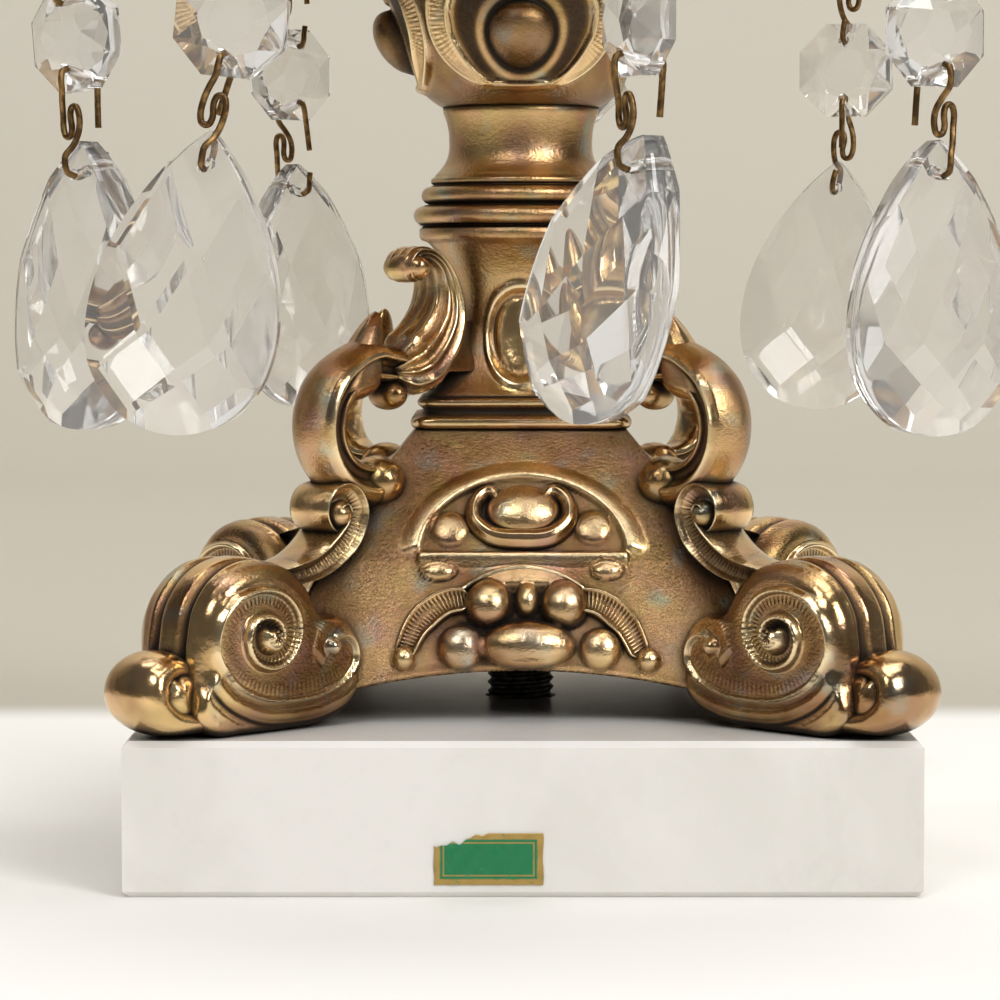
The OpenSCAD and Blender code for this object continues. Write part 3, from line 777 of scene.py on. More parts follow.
ornament = {
    "end": 1.2, "sunk": -1.2, "points": 31, "underTone": 0.3,
    "brow": [[-8.4, 37.0], [-5.0, 38.9], [0.4, 40.0], [5.6, 38.9], [8.6, 37.2]],
    "browWide": ([0, 0.5, 1], [0.4, 0.9, 0.4]),
    "cup": [[-3.0, 48.3], [-4.3, 49.7], [-6.0, 48.6], [-6.4, 46.4], [-4.6, 44.5], [0, 43.8], [4.4, 44.4],
            [6.4, 46.4], [5.9, 48.8], [4.2, 49.7], [3.1, 48.3], [3.9, 47.2]],
    "cupWide": ([0, 0.2, 0.5, 0.8, 1], [0.7, 1.3, 1.6, 1.3, 0.7]),
    "leaf": [[7.0, 36.0], [10.0, 35.6], [13.4, 33.2], [15.9, 28.7]],
    "leafWide": [1.7, 2.1, 1.5],
    "ticks": {"pitch": 0.50, "depth": 0.10, "lean": 0.5, "tone": 0.24},
}


def panelBand(path, wide, section, hatch=None):
    # a section (across, lift, tone) carried along a path of x and z on the panel, sunk into it below
    run, along = runOf(path), heading(path)
    close = roundEnds(run, run[-1], ornament["end"], ornament["end"])[:, None]
    side, up, tone = section.T
    across = np.interp(run / run[-1], *wide)[:, None] * close * side
    lift = up * (0.25 + 0.75 * close)
    if hatch:
        tick = np.cos(tau * (run[:, None] / hatch["pitch"] + hatch["lean"] * side))
        tick = tick * ease(-0.70, -0.5, side) * (1 - ease(0.45, 0.6, side))
        lift = lift + hatch["depth"] * tick * (up > -0.1)
        tone = tone + hatch["tone"] * tick
    x, z = path[:, :1] - along[:, 1:] * across, path[:, 1:] + along[:, :1] * across
    return panelPoint(x, z, lift), tone


def bandSection(top):
    # closed section: points of across, lift and tone over the top, then back underneath
    top = np.asarray(top, float)
    c = np.linspace(-1, 1, ornament["points"])
    over = np.stack([c, np.interp(c, top[:, 0], top[:, 1]), np.interp(c, top[:, 0], top[:, 2])], 1)
    under = [[side, ornament["sunk"], ornament["underTone"]] for side in (1, -1)]
    return np.concatenate([over, under, over[:1]])


rimSection = bandSection([[-1, -0.3, 0.4], [-0.7, 0.35, 0.55], [-0.25, 0.70, 0.85], [0.25, 0.70, 0.85],
                          [0.7, 0.35, 0.55], [1, -0.3, 0.4]])
leafSection = bandSection([[-1, -0.2, 0.35], [-0.88, 0.55, 0.6], [-0.78, 0.75, 0.85], [-0.66, 0.5, 0.5],
                           [-0.5, 0.12, 0.44], [0.0, 0.0, 0.52], [0.45, 0.25, 0.54], [0.6, 0.6, 0.58],
                           [0.75, 1.15, 0.95], [0.9, 0.9, 0.7], [1, -0.2, 0.35]])
rollSection = bandSection([[-1, -0.4, 0.3], [-0.8, 0.75, 0.5], [-0.4, 1.5, 0.62], [0, 1.75, 0.75],
                           [0.4, 1.5, 0.62], [0.8, 0.75, 0.5], [1, -0.4, 0.3]])


def addFootBody():
    leaf = curveThrough(ornament["leaf"], 150)
    bands = [
        panelBand(curveThrough(ornament["brow"], 80), ornament["browWide"], rimSection),
        panelBand(curveThrough(ornament["cup"], 130), ornament["cupWide"], rollSection),
    ]
    for flip in (1, -1):
        path = (leaf * [flip, 1])[::-flip]  # the raised edge stays on the outer side of both leaves
        wide = ([0, 0.5, 1], ornament["leafWide"][::-flip])
        bands.append(panelBand(path, wide, leafSection, ornament["ticks"]))
    addBrass("foot_body", fourTimes([bodySide()], 0), ["foot_casting"], bodyBrass)
    addBrass("foot_ornament", fourTimes(bands, 0))


addFootBody()
print("foot body ready")

# scroll feet on the diagonals, in the plane of reach and height

scroll = {
    "eye": (53.7, 32.6), "half": 7.5, "around": 270, "steps": 84, "tickPitch": 0.8, "reedAt": 2.6,
    "outline": [
        [53.7, 42.2], [49.2, 41.3], [45.5, 38.6], [43.9, 36.1], [43.0, 34.7], [39.9, 34.4], [37.3, 32.8],
        [35.9, 30.3], [35.6, 27.5], [36.6, 25.0], [38.6, 22.8], [41.2, 21.3], [44.5, 20.5], [50.0, 20.2],
        [57.0, 20.2], [62.0, 20.4], [64.8, 22.6], [64.6, 27.0], [64.2, 32.0], [63.3, 36.2], [60.5, 39.9],
        [57.4, 41.6],
    ],
    "rim": [
        [42.6, 30.5], [41.8, 31.6], [40.4, 31.9], [38.6, 30.9], [38.0, 28.9], [39.6, 26.4], [43.6, 24.6],
        [49.0, 24.0], [55.0, 24.6], [59.8, 27.2], [62.2, 31.4], [61.4, 35.2], [58.4, 37.8], [54.6, 38.7],
        [50.8, 37.6], [48.6, 34.8], [48.7, 31.6], [50.6, 29.2], [53.6, 28.5], [56.4, 29.7], [57.5, 32.2],
        [56.6, 34.6], [54.5, 35.3], [52.5, 34.3], [52.1, 32.4], [53.3, 31.2], [54.8, 31.8], [54.8, 33.2],
    ],
}


def scrollFoot():
    # polar grid about the eye on both sides, joined by a band across the width;
    # side height = rim ridge by distance to the rim line - channel inside it + lobes outside it
    eye, half = np.array(scroll["eye"]), scroll["half"]
    edge = curveThrough(scroll["outline"] + scroll["outline"][:2], 500) - eye
    rim = curveThrough(scroll["rim"], 260)
    a = np.linspace(-math.pi, math.pi, scroll["around"] + 1)[:, None]
    degrees = np.degrees(a)
    angle, radius = np.arctan2(edge[:, 1], edge[:, 0]), np.hypot(edge[:, 0], edge[:, 1])
    order = np.argsort(angle)
    far = np.interp(a, angle[order], radius[order], period=tau)
    r = far * np.linspace(0, 1, scroll["steps"] + 1)
    place = eye + np.stack([r * np.cos(a), r * np.sin(a)], axis=-1)
    near, along, side = nearestOnCurve(place.reshape(-1, 2), rim).reshape(3, *r.shape)
    inside = side > 0
    ridge = hill(near, 0.55)
    coil = ease(0.48, 0.62, along)
    channel = np.where(inside, 1, coil) * (1 - hill(near, 1.25))
    ticks = np.cos(tau * along * runOf(rim)[-1] / scroll["tickPitch"]) * hill(near - 1.3, 0.9) * inside
    ticks = ticks * (ease(0.46, 0.54, along) + 0.6 * (1 - ease(0.30, 0.42, along)))
    below = ease(-165, -150, degrees) * (1 - ease(-42, -22, degrees))
    tail = below * ~inside * (1 - coil)
    lobe = 1.2 * dome(near - 1.75, 1.5) + 1.0 * dome(near - 4.35, 1.3)
    groove = hill(near - 3.1, 0.4) + 0.6 * hill(near - 0.6, 0.3)
    width = half + 0.7 * ridge - (1.2 + 0.24 * r) * channel + 0.20 * ticks
    width = width + tail * (lobe - 1.15 - 0.5 * groove)
    width = width + 1.5 * dome(r, 1.15) ** 0.8 + 0.9 * (1 - ease(1.0, 5.5, r))
    curl = np.linalg.norm(place - scroll["rim"][0], axis=-1)
    width = np.maximum(width, half - 0.2 + 1.4 * dome(curl, 1.25))
    # the side rounds over to the reeds of the band
    shoulder = np.clip(far - 7.2, 1.5, 4.4) * (1 - below) + 1.3 * below
    drop = 1 - dome(np.clip(r - (far - shoulder), 0, None), shoulder)
    width = width - drop * np.minimum(3.4, shoulder * 1.1)
    tone = 0.58 + 0.36 * ridge - 0.24 * channel + 0.22 * ticks - 0.45 * tail * groove
    left = gridOf(place[..., 0], width, place[..., 1])
    right = left * [1, -1, 1]
    # band across: two grooves make three reeds, fading towards the tread
    c = np.linspace(1, -1, 49)
    wide = width[:, -1:] * c
    cut = hill(np.abs(wide) - scroll["reedAt"], 0.75) * (1 - below) * (1 - ease(118, 150, degrees))
    out = far + 0.45 * dome(np.abs(c), 1.001) * (1 - below) - cut
    band = gridOf(eye[0] + out * np.cos(a), wide, eye[1] + out * np.sin(a))
    band[:, 0], band[:, -1] = left[:, -1], right[:, -1]
    return [(left, tone), (right, tone), (band, 0.60 - 0.45 * cut)]


toe = {
    "eye": (65.6, 25.2), "half": 5.6, "radius": 4.0, "lift": 0.15,
    "sole": [[39.0, 24.8], [41.2, 23.0], [45.0, 22.2], [51.0, 22.0], [58.0, 22.0], [63.6, 22.1],
             [67.6, 22.9], [69.5, 25.0], [69.2, 27.6], [67.2, 29.0], [64.6, 28.8], [62.8, 27.2]],
    "soleThick": ([0, 0.5, 0.62, 0.78, 0.9, 1], [1.3, 1.6, 2.0, 2.6, 2.2, 1.4]),
    "soleWide": ([0, 0.15, 0.5, 0.66, 0.8, 1], [5.6, 6.9, 7.0, 6.2, 5.6, 4.0]),
}


def scrollToe():
    # smooth bulb drawn out towards the foot; a fold winds round its inner end: ridge and groove along
    # a line of the angle, kept above the plinth
    a = np.linspace(-math.pi, math.pi, 81)[:, None]
    lat = np.linspace(-quarter, quarter, 49)
    back = np.clip(-np.cos(a), 0, 1)
    r = toe["radius"] * np.cos(lat) ** 0.72 * (1 + 0.75 * back**2 * np.cos(lat))
    fold = np.mod(a + 0.9 + 0.5 * np.abs(np.sin(lat)) + math.pi, tau) - math.pi
    crease = hill(fold - 2.55, 0.13) * np.cos(lat) ** 0.4
    lip = hill(fold - 2.25, 0.2) * np.cos(lat) ** 0.4
    r = r - 0.45 * crease + 0.25 * lip
    dimple = hill(np.hypot(r * np.cos(a) + 1.6, r * np.sin(a) - 0.3), 1.3) * (np.abs(np.sin(lat)) > 0.5)
    w = toe["half"] * np.sin(lat)
    w = w - np.sign(w) * 0.5 * dimple
    height = np.maximum(toe["eye"][1] + r * np.sin(a) * 1.02, zFoot + toe["lift"])
    tone = 0.56 + 0.3 * lip - 0.4 * crease - 0.2 * dimple
    return gridOf(toe["eye"][0] + r * np.cos(a), w, height), tone


def toeRoll():
    # the sole: an oval section carried under the volute, rolled up and back over the bulb at its end
    a = np.linspace(0, tau, 49)
    section = np.stack([np.cos(a), np.sin(a), 0.52 + 0.10 * np.cos(a)], axis=1)
    return ribbon(curveThrough(toe["sole"], 130), section, toe["soleThick"], toe["soleWide"], 1.6, 1.8)


wing = {
    "path": [[49.0, 39.6], [45.6, 39.8], [41.6, 40.6], [38.0, 42.6], [35.3, 45.3], [34.5, 48.0],
             [35.9, 50.0], [38.0, 49.6], [38.9, 47.6], [37.8, 46.0], [36.4, 46.6], [36.7, 47.8]],
    "width": ([-1, -0.96, -0.75, -0.45, 0.1, 0.5, 0.75, 0.93, 1],
              [0, 0.55, 0.95, 0.74, 0.62, 0.72, 1.0, 0.65, 0]),
    "tone": ([-1, -0.75, 0.1, 0.75, 1], [0.5, 0.85, 0.35, 0.95, 0.55]),
    "thick": ([0, 0.15, 0.45, 0.7, 0.85, 1], [0.9, 1.7, 2.3, 1.9, 1.3, 0.9]),
    "wide": ([0, 0.15, 0.45, 0.7, 1], [3.0, 4.0, 4.4, 4.4, 3.8]),
    "ticks": {"pitch": 0.5, "depth": 0.10, "level": 0.0, "band": 0.6, "tone": 0.35,
              "start": (0.08, 0.14), "stop": (0.62, 0.74)},
    "ball": (36.9, 47.4, 2.6, 4.5, 41),
}


def scrollWing():
    # small scroll above the foot: a channelled ribbon from the volute's top, curling outwards at its head
    section = mirroredSection(41, wing["width"], wing["tone"])
    path = curveThrough(wing["path"], 150)
    curl = ribbon(path, section, wing["thick"], wing["wide"], 2.0, 1.0, wing["ticks"])
    return [curl, ball(*wing["ball"])]


def addScrollFeet():
    grids = scrollFoot()
    for i, name in enumerate(("right_back", "left_back", "left_front", "right_front")):
        addBrass("scroll_foot_" + name, turnGrids(grids, 45 + 90 * i))
    addBrass("foot_toes", fourTimes([scrollToe(), toeRoll()], 45))
    addBrass("foot_wings", fourTimes(scrollWing(), 45))


addScrollFeet()
print("scroll feet ready")

# pedestal casting

pedestal = {
    "moulding": 15.2, "waist": 8.0, "flare": 5.0, "coveLow": 4.7, "coveHigh": 21.0, "around": 480,
    # inset from the moulding's half width, and height over the seat
    "steps": [[0.9, clear], [0.3, 0.3], [0, 0.8], [0, 1.3], [0.3, 1.75], [1.5, 2.05], [1.75, 2.4],
              [1.75, 2.75], [1.45, 3.0], [1.0, 3.4], [0.9, 3.8], [1.2, 4.2], [1.9, 4.45]],
    # half width, and depth below the neck
    "crown": [[13.9, 2.0], [14.2, 1.5], [14.2, 0.5], [13.6, 0.0]],
    "medallion": [0, zSeat + 13.0, 5.0, 6.6],
}


def pedestalCore():
    # rounded square whose half width and squareness follow the height: |x|^p + |y|^p = half^p
    w, z, waist = pedestal["moulding"], zSeat, pedestal["waist"]
    inset, rise = np.array(pedestal["steps"]).T
    crown, depth = np.array(pedestal["crown"]).T
    cove = np.linspace(0, 1, 46)
    bow = 2 * cove - 1
    coveHalf = waist + np.where(bow < 0, w - 2 - waist, pedestal["flare"]) * bow**2
    half = np.concatenate([w - inset, coveHalf, crown])[:, None]
    coveZ = z + pedestal["coveLow"] + pedestal["coveHigh"] * cove
    up = np.concatenate([z + rise, coveZ, zNeck - depth])[:, None]
    power = np.interp(up, [z, z + 5, z + 14, z + 22, zNeck - 2], [14, 12, 5, 3, 2])
    a = np.linspace(0, tau, pedestal["around"] + 1)
    r = half / (np.abs(np.cos(a)) ** power + np.abs(np.sin(a)) ** power) ** (1 / power)
    # oval medallion with a rim on each face
    face = np.mod(a + math.pi / 4, quarter) - math.pi / 4
    reach = oval(r * np.tan(np.clip(face, -0.7, 0.7)), up, pedestal["medallion"])
    rim = hill(reach - 1.0, 0.13)
    heart = dome(reach, 0.80)
    seam = hill(up - z - 2.5, 0.35) + hill(up - z - 4.5, 0.2)
    tone = 0.48 + 0.4 * rim + 0.16 * heart - 0.2 * hill(reach - 0.83, 0.06)
    tone = tone - 0.45 * seam + 0.25 * hill(up - z - 1.0, 0.6) + 0.3 * hill(up - z - 3.7, 0.4)
    wall = ringOf(r + 0.9 * rim + 1.3 * heart, a, up)
    bore = ringOf(boreRadius, a, up[[-1, 0]])
    return toned(np.concatenate([wall, bore, wall[:1]]), tone, 0.4)


handle = {
    "x": 30.1, "z": 59.0, "radius": 8.0, "from": -108, "to": 104, "half": 3.1,
    "root": [[24.6, 67.0], [20.8, 66.2], [17.2, 65.0]],
    "width": ([-1, -0.94, -0.78, -0.60, -0.48, -0.25, 0.0, 0.16, 0.26, 0.40, 0.62, 0.84, 0.95, 1],
              [0, 0.42, 0.66, 0.70, 0.52, 0.50, 0.70, 1.0, 1.02, 0.96, 0.82, 0.52, 0.28, 0]),
    "tone": ([-1, -0.72, -0.48, -0.2, 0.1, 0.22, 0.5, 1], [0.6, 0.92, 0.25, 0.28, 0.6, 0.98, 0.55, 0.45]),
    # along the run from the root: share of the half thickness, half width
    "thick": ([0, 0.15, 0.3, 0.5, 0.8, 0.94, 1], [0.6, 0.75, 0.95, 1.0, 1.0, 1.05, 0.95]),
    "wide": ([0, 0.3, 0.5, 0.8, 1], [2.6, 3.6, 4.1, 3.9, 3.4]),
    # ball that ends the lower curl, nub at the upper inner end
    "balls": [(27.7, 51.3, 3.5, 4.2), (25.6, 63.0, 2.1, 3.2)],
}


def handleScroll():
    # open C-scroll: domed outside, a raised line, a hollow and an inner bead on each side
    degrees = np.linspace(handle["from"], handle["to"], 40)
    a = np.radians(degrees)
    bow = handle["radius"] * np.stack([np.cos(a), np.sin(a)], axis=1) + [handle["x"], handle["z"]]
    bow[:, 1] += 0.8 * ease(60, handle["to"], degrees)
    path = curveThrough(np.concatenate([bow, handle["root"]]), 150)[::-1]
    section = mirroredSection(45, handle["width"], handle["tone"]) * [-1, 1, 1]
    thick = (handle["thick"][0], np.multiply(handle["half"], handle["thick"][1]))
    curl = ribbon(path, section, thick, handle["wide"], 0.5, 2.4)
    return [curl] + [ball(*spot) for spot in handle["balls"]]


crest = {"x": 32.4, "z": 62.2, "high": 12.1, "lean": 4.5, "deep": 4.2, "half": 3.4}


def crestLeaf():
    # bud on top of the handle: flattened drop, ridged down its middle, its tip leaning inwards
    t = np.linspace(0, 1, 60)[:, None]
    a = np.linspace(0, tau, 61)
    size = dome(1 - np.clip(t / 0.2, 0, 1), 1.0) * (1 - t**2.2) ** 0.62
    x = crest["x"] - crest["lean"] * t**1.2 + crest["deep"] * size * np.cos(a) * (1 - 0.25 * t)
    w = crest["half"] * size * np.sin(a) * (1 + 0.10 * np.cos(2 * a))
    z = crest["z"] + crest["high"] * t - 0.6 * size * np.cos(a)
    return gridOf(x, w, z), 0.52 + 0.25 * hill(np.sin(a), 0.3) * (np.cos(a) > 0)


leafScroll = {
    "path": [[21.8, 80.2], [21.2, 79.6], [21.8, 78.8], [22.9, 79.2], [23.2, 80.4], [22.2, 81.8],
             [20.2, 82.0], [18.0, 80.8], [16.4, 78.0], [16.2, 74.8], [17.4, 71.4], [19.8, 68.4],
             [23.0, 66.4], [26.4, 66.0]],
    "thick": ([0, 0.2, 0.35, 0.5, 0.65, 0.8, 0.92, 1], [0.5, 0.9, 1.3, 2.4, 3.6, 4.2, 3.4, 1.6]),
    "wide": ([0, 0.25, 0.42, 0.6, 0.85, 1], [2.6, 2.9, 3.4, 4.4, 4.8, 3.6]),
    "reeds": 12, "flute": 0.14, "roll": (22.0, 80.2, 2.1, 3.9, 37, 0.8), "webFrom": 0.6, "webRoot": 7.0,
}


def leafBracket():
    # fluted leaf under the neck: rolled head outside, S-shaped fall to the handle's root;
    # section: rounded square with reeds all round it
    path = curveThrough(leafScroll["path"], 150)
    a = np.linspace(0, tau, 121)
    flute = np.abs(np.sin(leafScroll["reeds"] / 2 * a))
    size = (np.abs(np.cos(a)) ** 4 + np.abs(np.sin(a)) ** 4) ** -0.25 * (1 - leafScroll["flute"] * flute)
    section = np.stack([size * np.cos(a), size * np.sin(a), 0.92 - 0.52 * flute**0.6], axis=1)
    leaf = ribbon(path, section, leafScroll["thick"], leafScroll["wide"], 1.0, 2.0)
    # web between the leaf and the core: rectangle in reach and width at each height of the fall
    fall = path[int(leafScroll["webFrom"] * len(path)):]
    reach, root = fall[:, 0], np.full(len(fall), leafScroll["webRoot"])
    thin = 0.15 + 2.6 * ease(0, 0.8, np.linspace(0, 1, len(fall)))
    corners = [(reach, thin), (root, thin), (root, -thin), (reach, -thin), (reach, thin)]
    web = np.stack([gridOf(x, w, fall[:, 1]) for x, w in corners], axis=1)
    caps = [np.stack([web[i, :2], web[i, [3, 2]]]) for i in (0, -1)]
    return [leaf, ball(*leafScroll["roll"])] + [(g, 0.42) for g in [web] + caps]


def addPedestal():
    addBrass("pedestal_core", [pedestalCore()], ["pedestal_casting"])
    addBrass("pedestal_handles", fourTimes(handleScroll() + [crestLeaf()], 45))
    addBrass("pedestal_leaves", fourTimes(leafBracket(), 45))


addPedestal()
print("pedestal ready")

# neck, knop and collar

spool = {
    "waist": 10.0, "flareLow": 1.9, "flareHigh": 0.8, "waistLow": 7.1, "waistTop": 0.8,
    "foot": 14.4, "head": 10.9,
    # radius, thickness, low, high and points of each ring, and the radius and height of the groove over it
    "rings": [((15.0, 1.3, 0.1, 2.7, 14), (13.5, 2.85)), ((13.9, 1.2, 3.0, 5.4, 14), (12.5, 5.55)),
              ((12.6, 0.5, 5.7, 6.7, 8), None)],
}


def addNeck():
    # waisted spool over three rings: radius = waist + flare * |share|^2.4, with little flare at the knop
    share = np.linspace(-1, 1, 30)
    flare = np.where(share > 0, spool["flareHigh"], spool["flareLow"])
    low, high = zNeck + spool["waistLow"], zKnop - spool["waistTop"]
    rise = low + (share + 1) / 2 * (high - low)
    waist = np.stack([spool["waist"] + flare * np.abs(share) ** 2.4, rise], axis=1)
    outline = [[[spool["foot"], zNeck + clear]]]
    for (radius, thick, start, stop, count), groove in spool["rings"]:
        outline.append(beadRing(radius, thick, zNeck + start, zNeck + stop, count))
        if groove:
            outline.append([[groove[0], zNeck + groove[1]]])
    outline = np.concatenate(outline + [waist, [[spool["head"], zKnop - clear]]])
    outline = bored(outline, zNeck + clear, zKnop - clear)
    dark = hill(outline[:, 1:] - zNeck - 2.85, 0.25) + hill(outline[:, 1:] - zNeck - 5.6, 0.2)
    addBrass("neck_turned", [(turned(outline, 220), 0.49 - 0.25 * dark)], ["neck_spool"])


knop = {
    "low": 12.0, "high": 9.0, "belly": 18.6, "tuck": 1.2, "tuckShare": 0.07, "bossShare": 0.24,
    "bossRadius": 4.4, "boss": 3.2, "spread": 17.5, "tickPitch": 0.6,
    "petal": [0, 10.6, 4.4, 5.6], "around": 520, "rows": 160,
    # middle line of the hatched band on half a side: x and z from the boss
    "bandLine": [[-2.0, -6.7], [2.0, -6.7], [6.2, -6.2], [9.4, -4.0], [11.4, -0.6], [11.4, 3.8], [9.8, 8.2],
                 [9.4, 12.4], [11.0, 16.0], [10.6, 19.6], [7.6, 21.4], [5.4, 19.4], [6.8, 17.4]],
}


def knopRadius(t):
    # body of the knop: straight taper plus a sine belly, tucked in at the bottom
    mean = (knop["low"] + knop["high"]) / 2
    taper = knop["low"] + (knop["high"] - knop["low"]) * t
    tuck = knop["tuck"] * np.clip(1 - t / knop["tuckShare"], 0, 1) ** 2
    return taper + (knop["belly"] - mean) * np.clip(np.sin(math.pi * t), 0, None) ** 0.85 - tuck


def addKnop():
    # relief on the turned body, the same on four sides: boss, ring, hatched C-bands, petal, sunk field
    tall = zCollar - zKnop
    t = np.linspace(0, 1, knop["rows"])[:, None]
    a = np.linspace(0, tau, knop["around"] + 1)
    x = (np.mod(a + math.pi / 4, quarter) - math.pi / 4) * knop["spread"]
    z = t * tall - knop["bossShare"] * tall
    place = np.stack(np.broadcast_arrays(np.abs(x), z), axis=-1)
    line = curveThrough(knop["bandLine"], 180)
    near, along, side = nearestOnCurve(place.reshape(-1, 2), line).reshape(3, *place.shape[:2])
    half = 0.5 + 1.3 * ease(0.12, 0.34, along)
    share = near / half
    band = 1 - ease(0.75, 1.1, share)
    ticks = np.cos(tau * along * runOf(line)[-1] / knop["tickPitch"]) * (1 - ease(0.5, 0.8, share))
    ticks = ticks * ease(0.26, 0.34, along)
    ridge = hill(near - half * 0.95, 0.38) * ease(0.12, 0.3, along)
    field = ((side > 0) & (near > half)) * ease(-6.2, -4.6, z) * (1 - ease(18, 21, z))
    field = field * ease(0.9, 1.8, share)
    ring = np.hypot(x, z)
    boss = dome(ring, knop["bossRadius"])
    halo = hill(ring - knop["bossRadius"] - 0.45, 0.35)
    hoop = hill(ring - knop["bossRadius"] - 1.5, 0.5)
    petal = oval(x, z, knop["petal"])
    leaf = dome(petal, 1.0) * (1 + 0.12 * np.cos(7 * x / knop["petal"][2]))
    vein = hill(x, 0.35) * (petal < 0.9)
    lift = 0.8 * band + 0.12 * ticks + 0.6 * ridge - 1.8 * field + 0.9 * hoop * field
    lift = np.maximum(lift, knop["boss"] * boss ** 0.9)
    lift = np.maximum(lift, 1.3 * leaf - 0.4 * vein) - 0.25 * halo
    tone = 0.33 + 0.32 * band + 0.2 * ticks + 0.34 * ridge - 0.12 * field
    tone = tone + 0.14 * boss - 0.06 * halo + 0.32 * hoop + 0.28 * leaf - 0.3 * vein
    fade = ease(0, 0.05, t) * (1 - ease(0.95, 1, t))
    wall = frontRing(knopRadius(t) + lift * fade, a, zKnop + t * tall)
    bore = frontRing(boreRadius, a, np.array([[zCollar], [zKnop]]))
    addBrass("knop_cast", [toned(np.concatenate([wall, bore, wall[:1]]), tone, 0.4)], ["stem_knop"])


collar = {"waist": 7.8, "flare": 1.2, "step": 9.2, "foot": 9.6, "low": (10.6, 1.2), "high": (10.2, 1.0)}


def addCollar():
    # waisted ring between two beads
    share = np.linspace(-1, 1, 16)
    low, high = zCollar, zPan
    rise = low + 2.7 + (share + 1) / 2 * (high - low - 5.0)
    outline = np.concatenate([
        [[collar["foot"], low + clear]], beadRing(*collar["low"], low + 0.1, low + 2.4),
        [[collar["step"], low + 2.5]],
        np.stack([collar["waist"] + collar["flare"] * share**2, rise], axis=1),
        beadRing(*collar["high"], high - 2.1, high - 0.1), [[collar["step"], high - clear]]])
    grid = turned(bored(outline, low + clear, high - clear), 160)
    addBrass("collar_turned", [(grid, 0.55)], ["knop_collar"])


addNeck()
addKnop()
addCollar()
print("neck, knop and collar ready")

# drip pan and candle cup

pan = {
    "holes": 9, "turn": 12.0, "hang": 67.0, "hub": 12.0, "hubEdge": 0.4, "thick": 1.6, "dish": 2.0,
    "notch": 5.0, "lug": 1.1, "lugRing": 2.1, "rim": 62.25, "around": 720, "steps": 40, "roll": 0.55,
    "rib": 0.45, "fan": 0.16,
}
holeStep = 360 / pan["holes"]


def lobedRim(a):
    # radius of the lobed rim at an angle counted from a hole
    return pan["rim"] - pan["notch"] * (1 - np.abs(np.cos(pan["holes"] / 2 * a)) ** 0.8)


def addPan():
    # petals: dished plate with a soft rib along each petal and a rolled edge, lower surface parallel
    mid, hub = zPan + pan["thick"], pan["hub"]
    a = np.linspace(0, tau, pan["around"] + 1)[:, None]
    s = np.linspace(0, 1, pan["steps"])
    r = hub - 1 + (lobedRim(a) - hub + 1) * s
    petal = np.cos(pan["holes"] * a)
    fan = np.cos(pan["holes"] * 6 * a) * ease(0.35, 0.9, s)
    rib = pan["rib"] * petal * ease(0.15, 0.6, s) + pan["fan"] * fan
    z = mid - pan["dish"] * (1 - (r / (pan["rim"] + 1)) ** 2) + rib * (1 - ease(0.9, 1, s) * 0.6)
    skin = pan["thick"] / 2 * dome(np.clip(s - 0.97, 0, None), 0.0301)
    skin = skin + pan["roll"] * hill(s - 0.975, 0.03) * (skin > 0.05)
    upper, lower = (turnZ(frontRing(r, a, level), pan["turn"]) for level in (z + skin, z - skin))
    tone = 0.5 + 0.14 * petal + 0.22 * fan + 0.35 * hill(s - 0.96, 0.03)
    edge = pan["hubEdge"]
    hubLine = [[hub - edge, zPan + clear], [hub, zPan + edge],
               [hub, zCup - edge], [hub - edge, zCup - clear]]
    u, v = np.linspace(0, tau, 49)[:, None], np.linspace(0, tau, 25)
    d = pan["lugRing"] + pan["lug"] * np.cos(v)
    lugAway = d * np.sin(u) - (pan["hang"] - pan["lugRing"])
    lug = gridOf(d * np.cos(u), lugAway, mid + pan["lug"] * np.sin(v))
    grids = [(upper, tone), (lower, tone - 0.1), (np.stack([upper[:, 0], lower[:, 0]]), 0.4),
             (turned(bored(hubLine, zPan + clear, zCup - clear), 160), 0.5)]
    grids += [(turnZ(lug, pan["turn"] + holeStep * hole), 0.6) for hole in range(pan["holes"])]
    addBrass("pan_petals", grids, ["drip_pan"])


cup = {
    "candle": 11.3, "nutRoom": 9.1, "floor": 4.0, "socket": 9.6, "wall": 2.0, "petals": 8, "around": 360,
    "bowlLow": 7.4, "bowlShare": 0.46, "throatShare": 0.68, "beads": 40, "petalLift": 0.75,
}


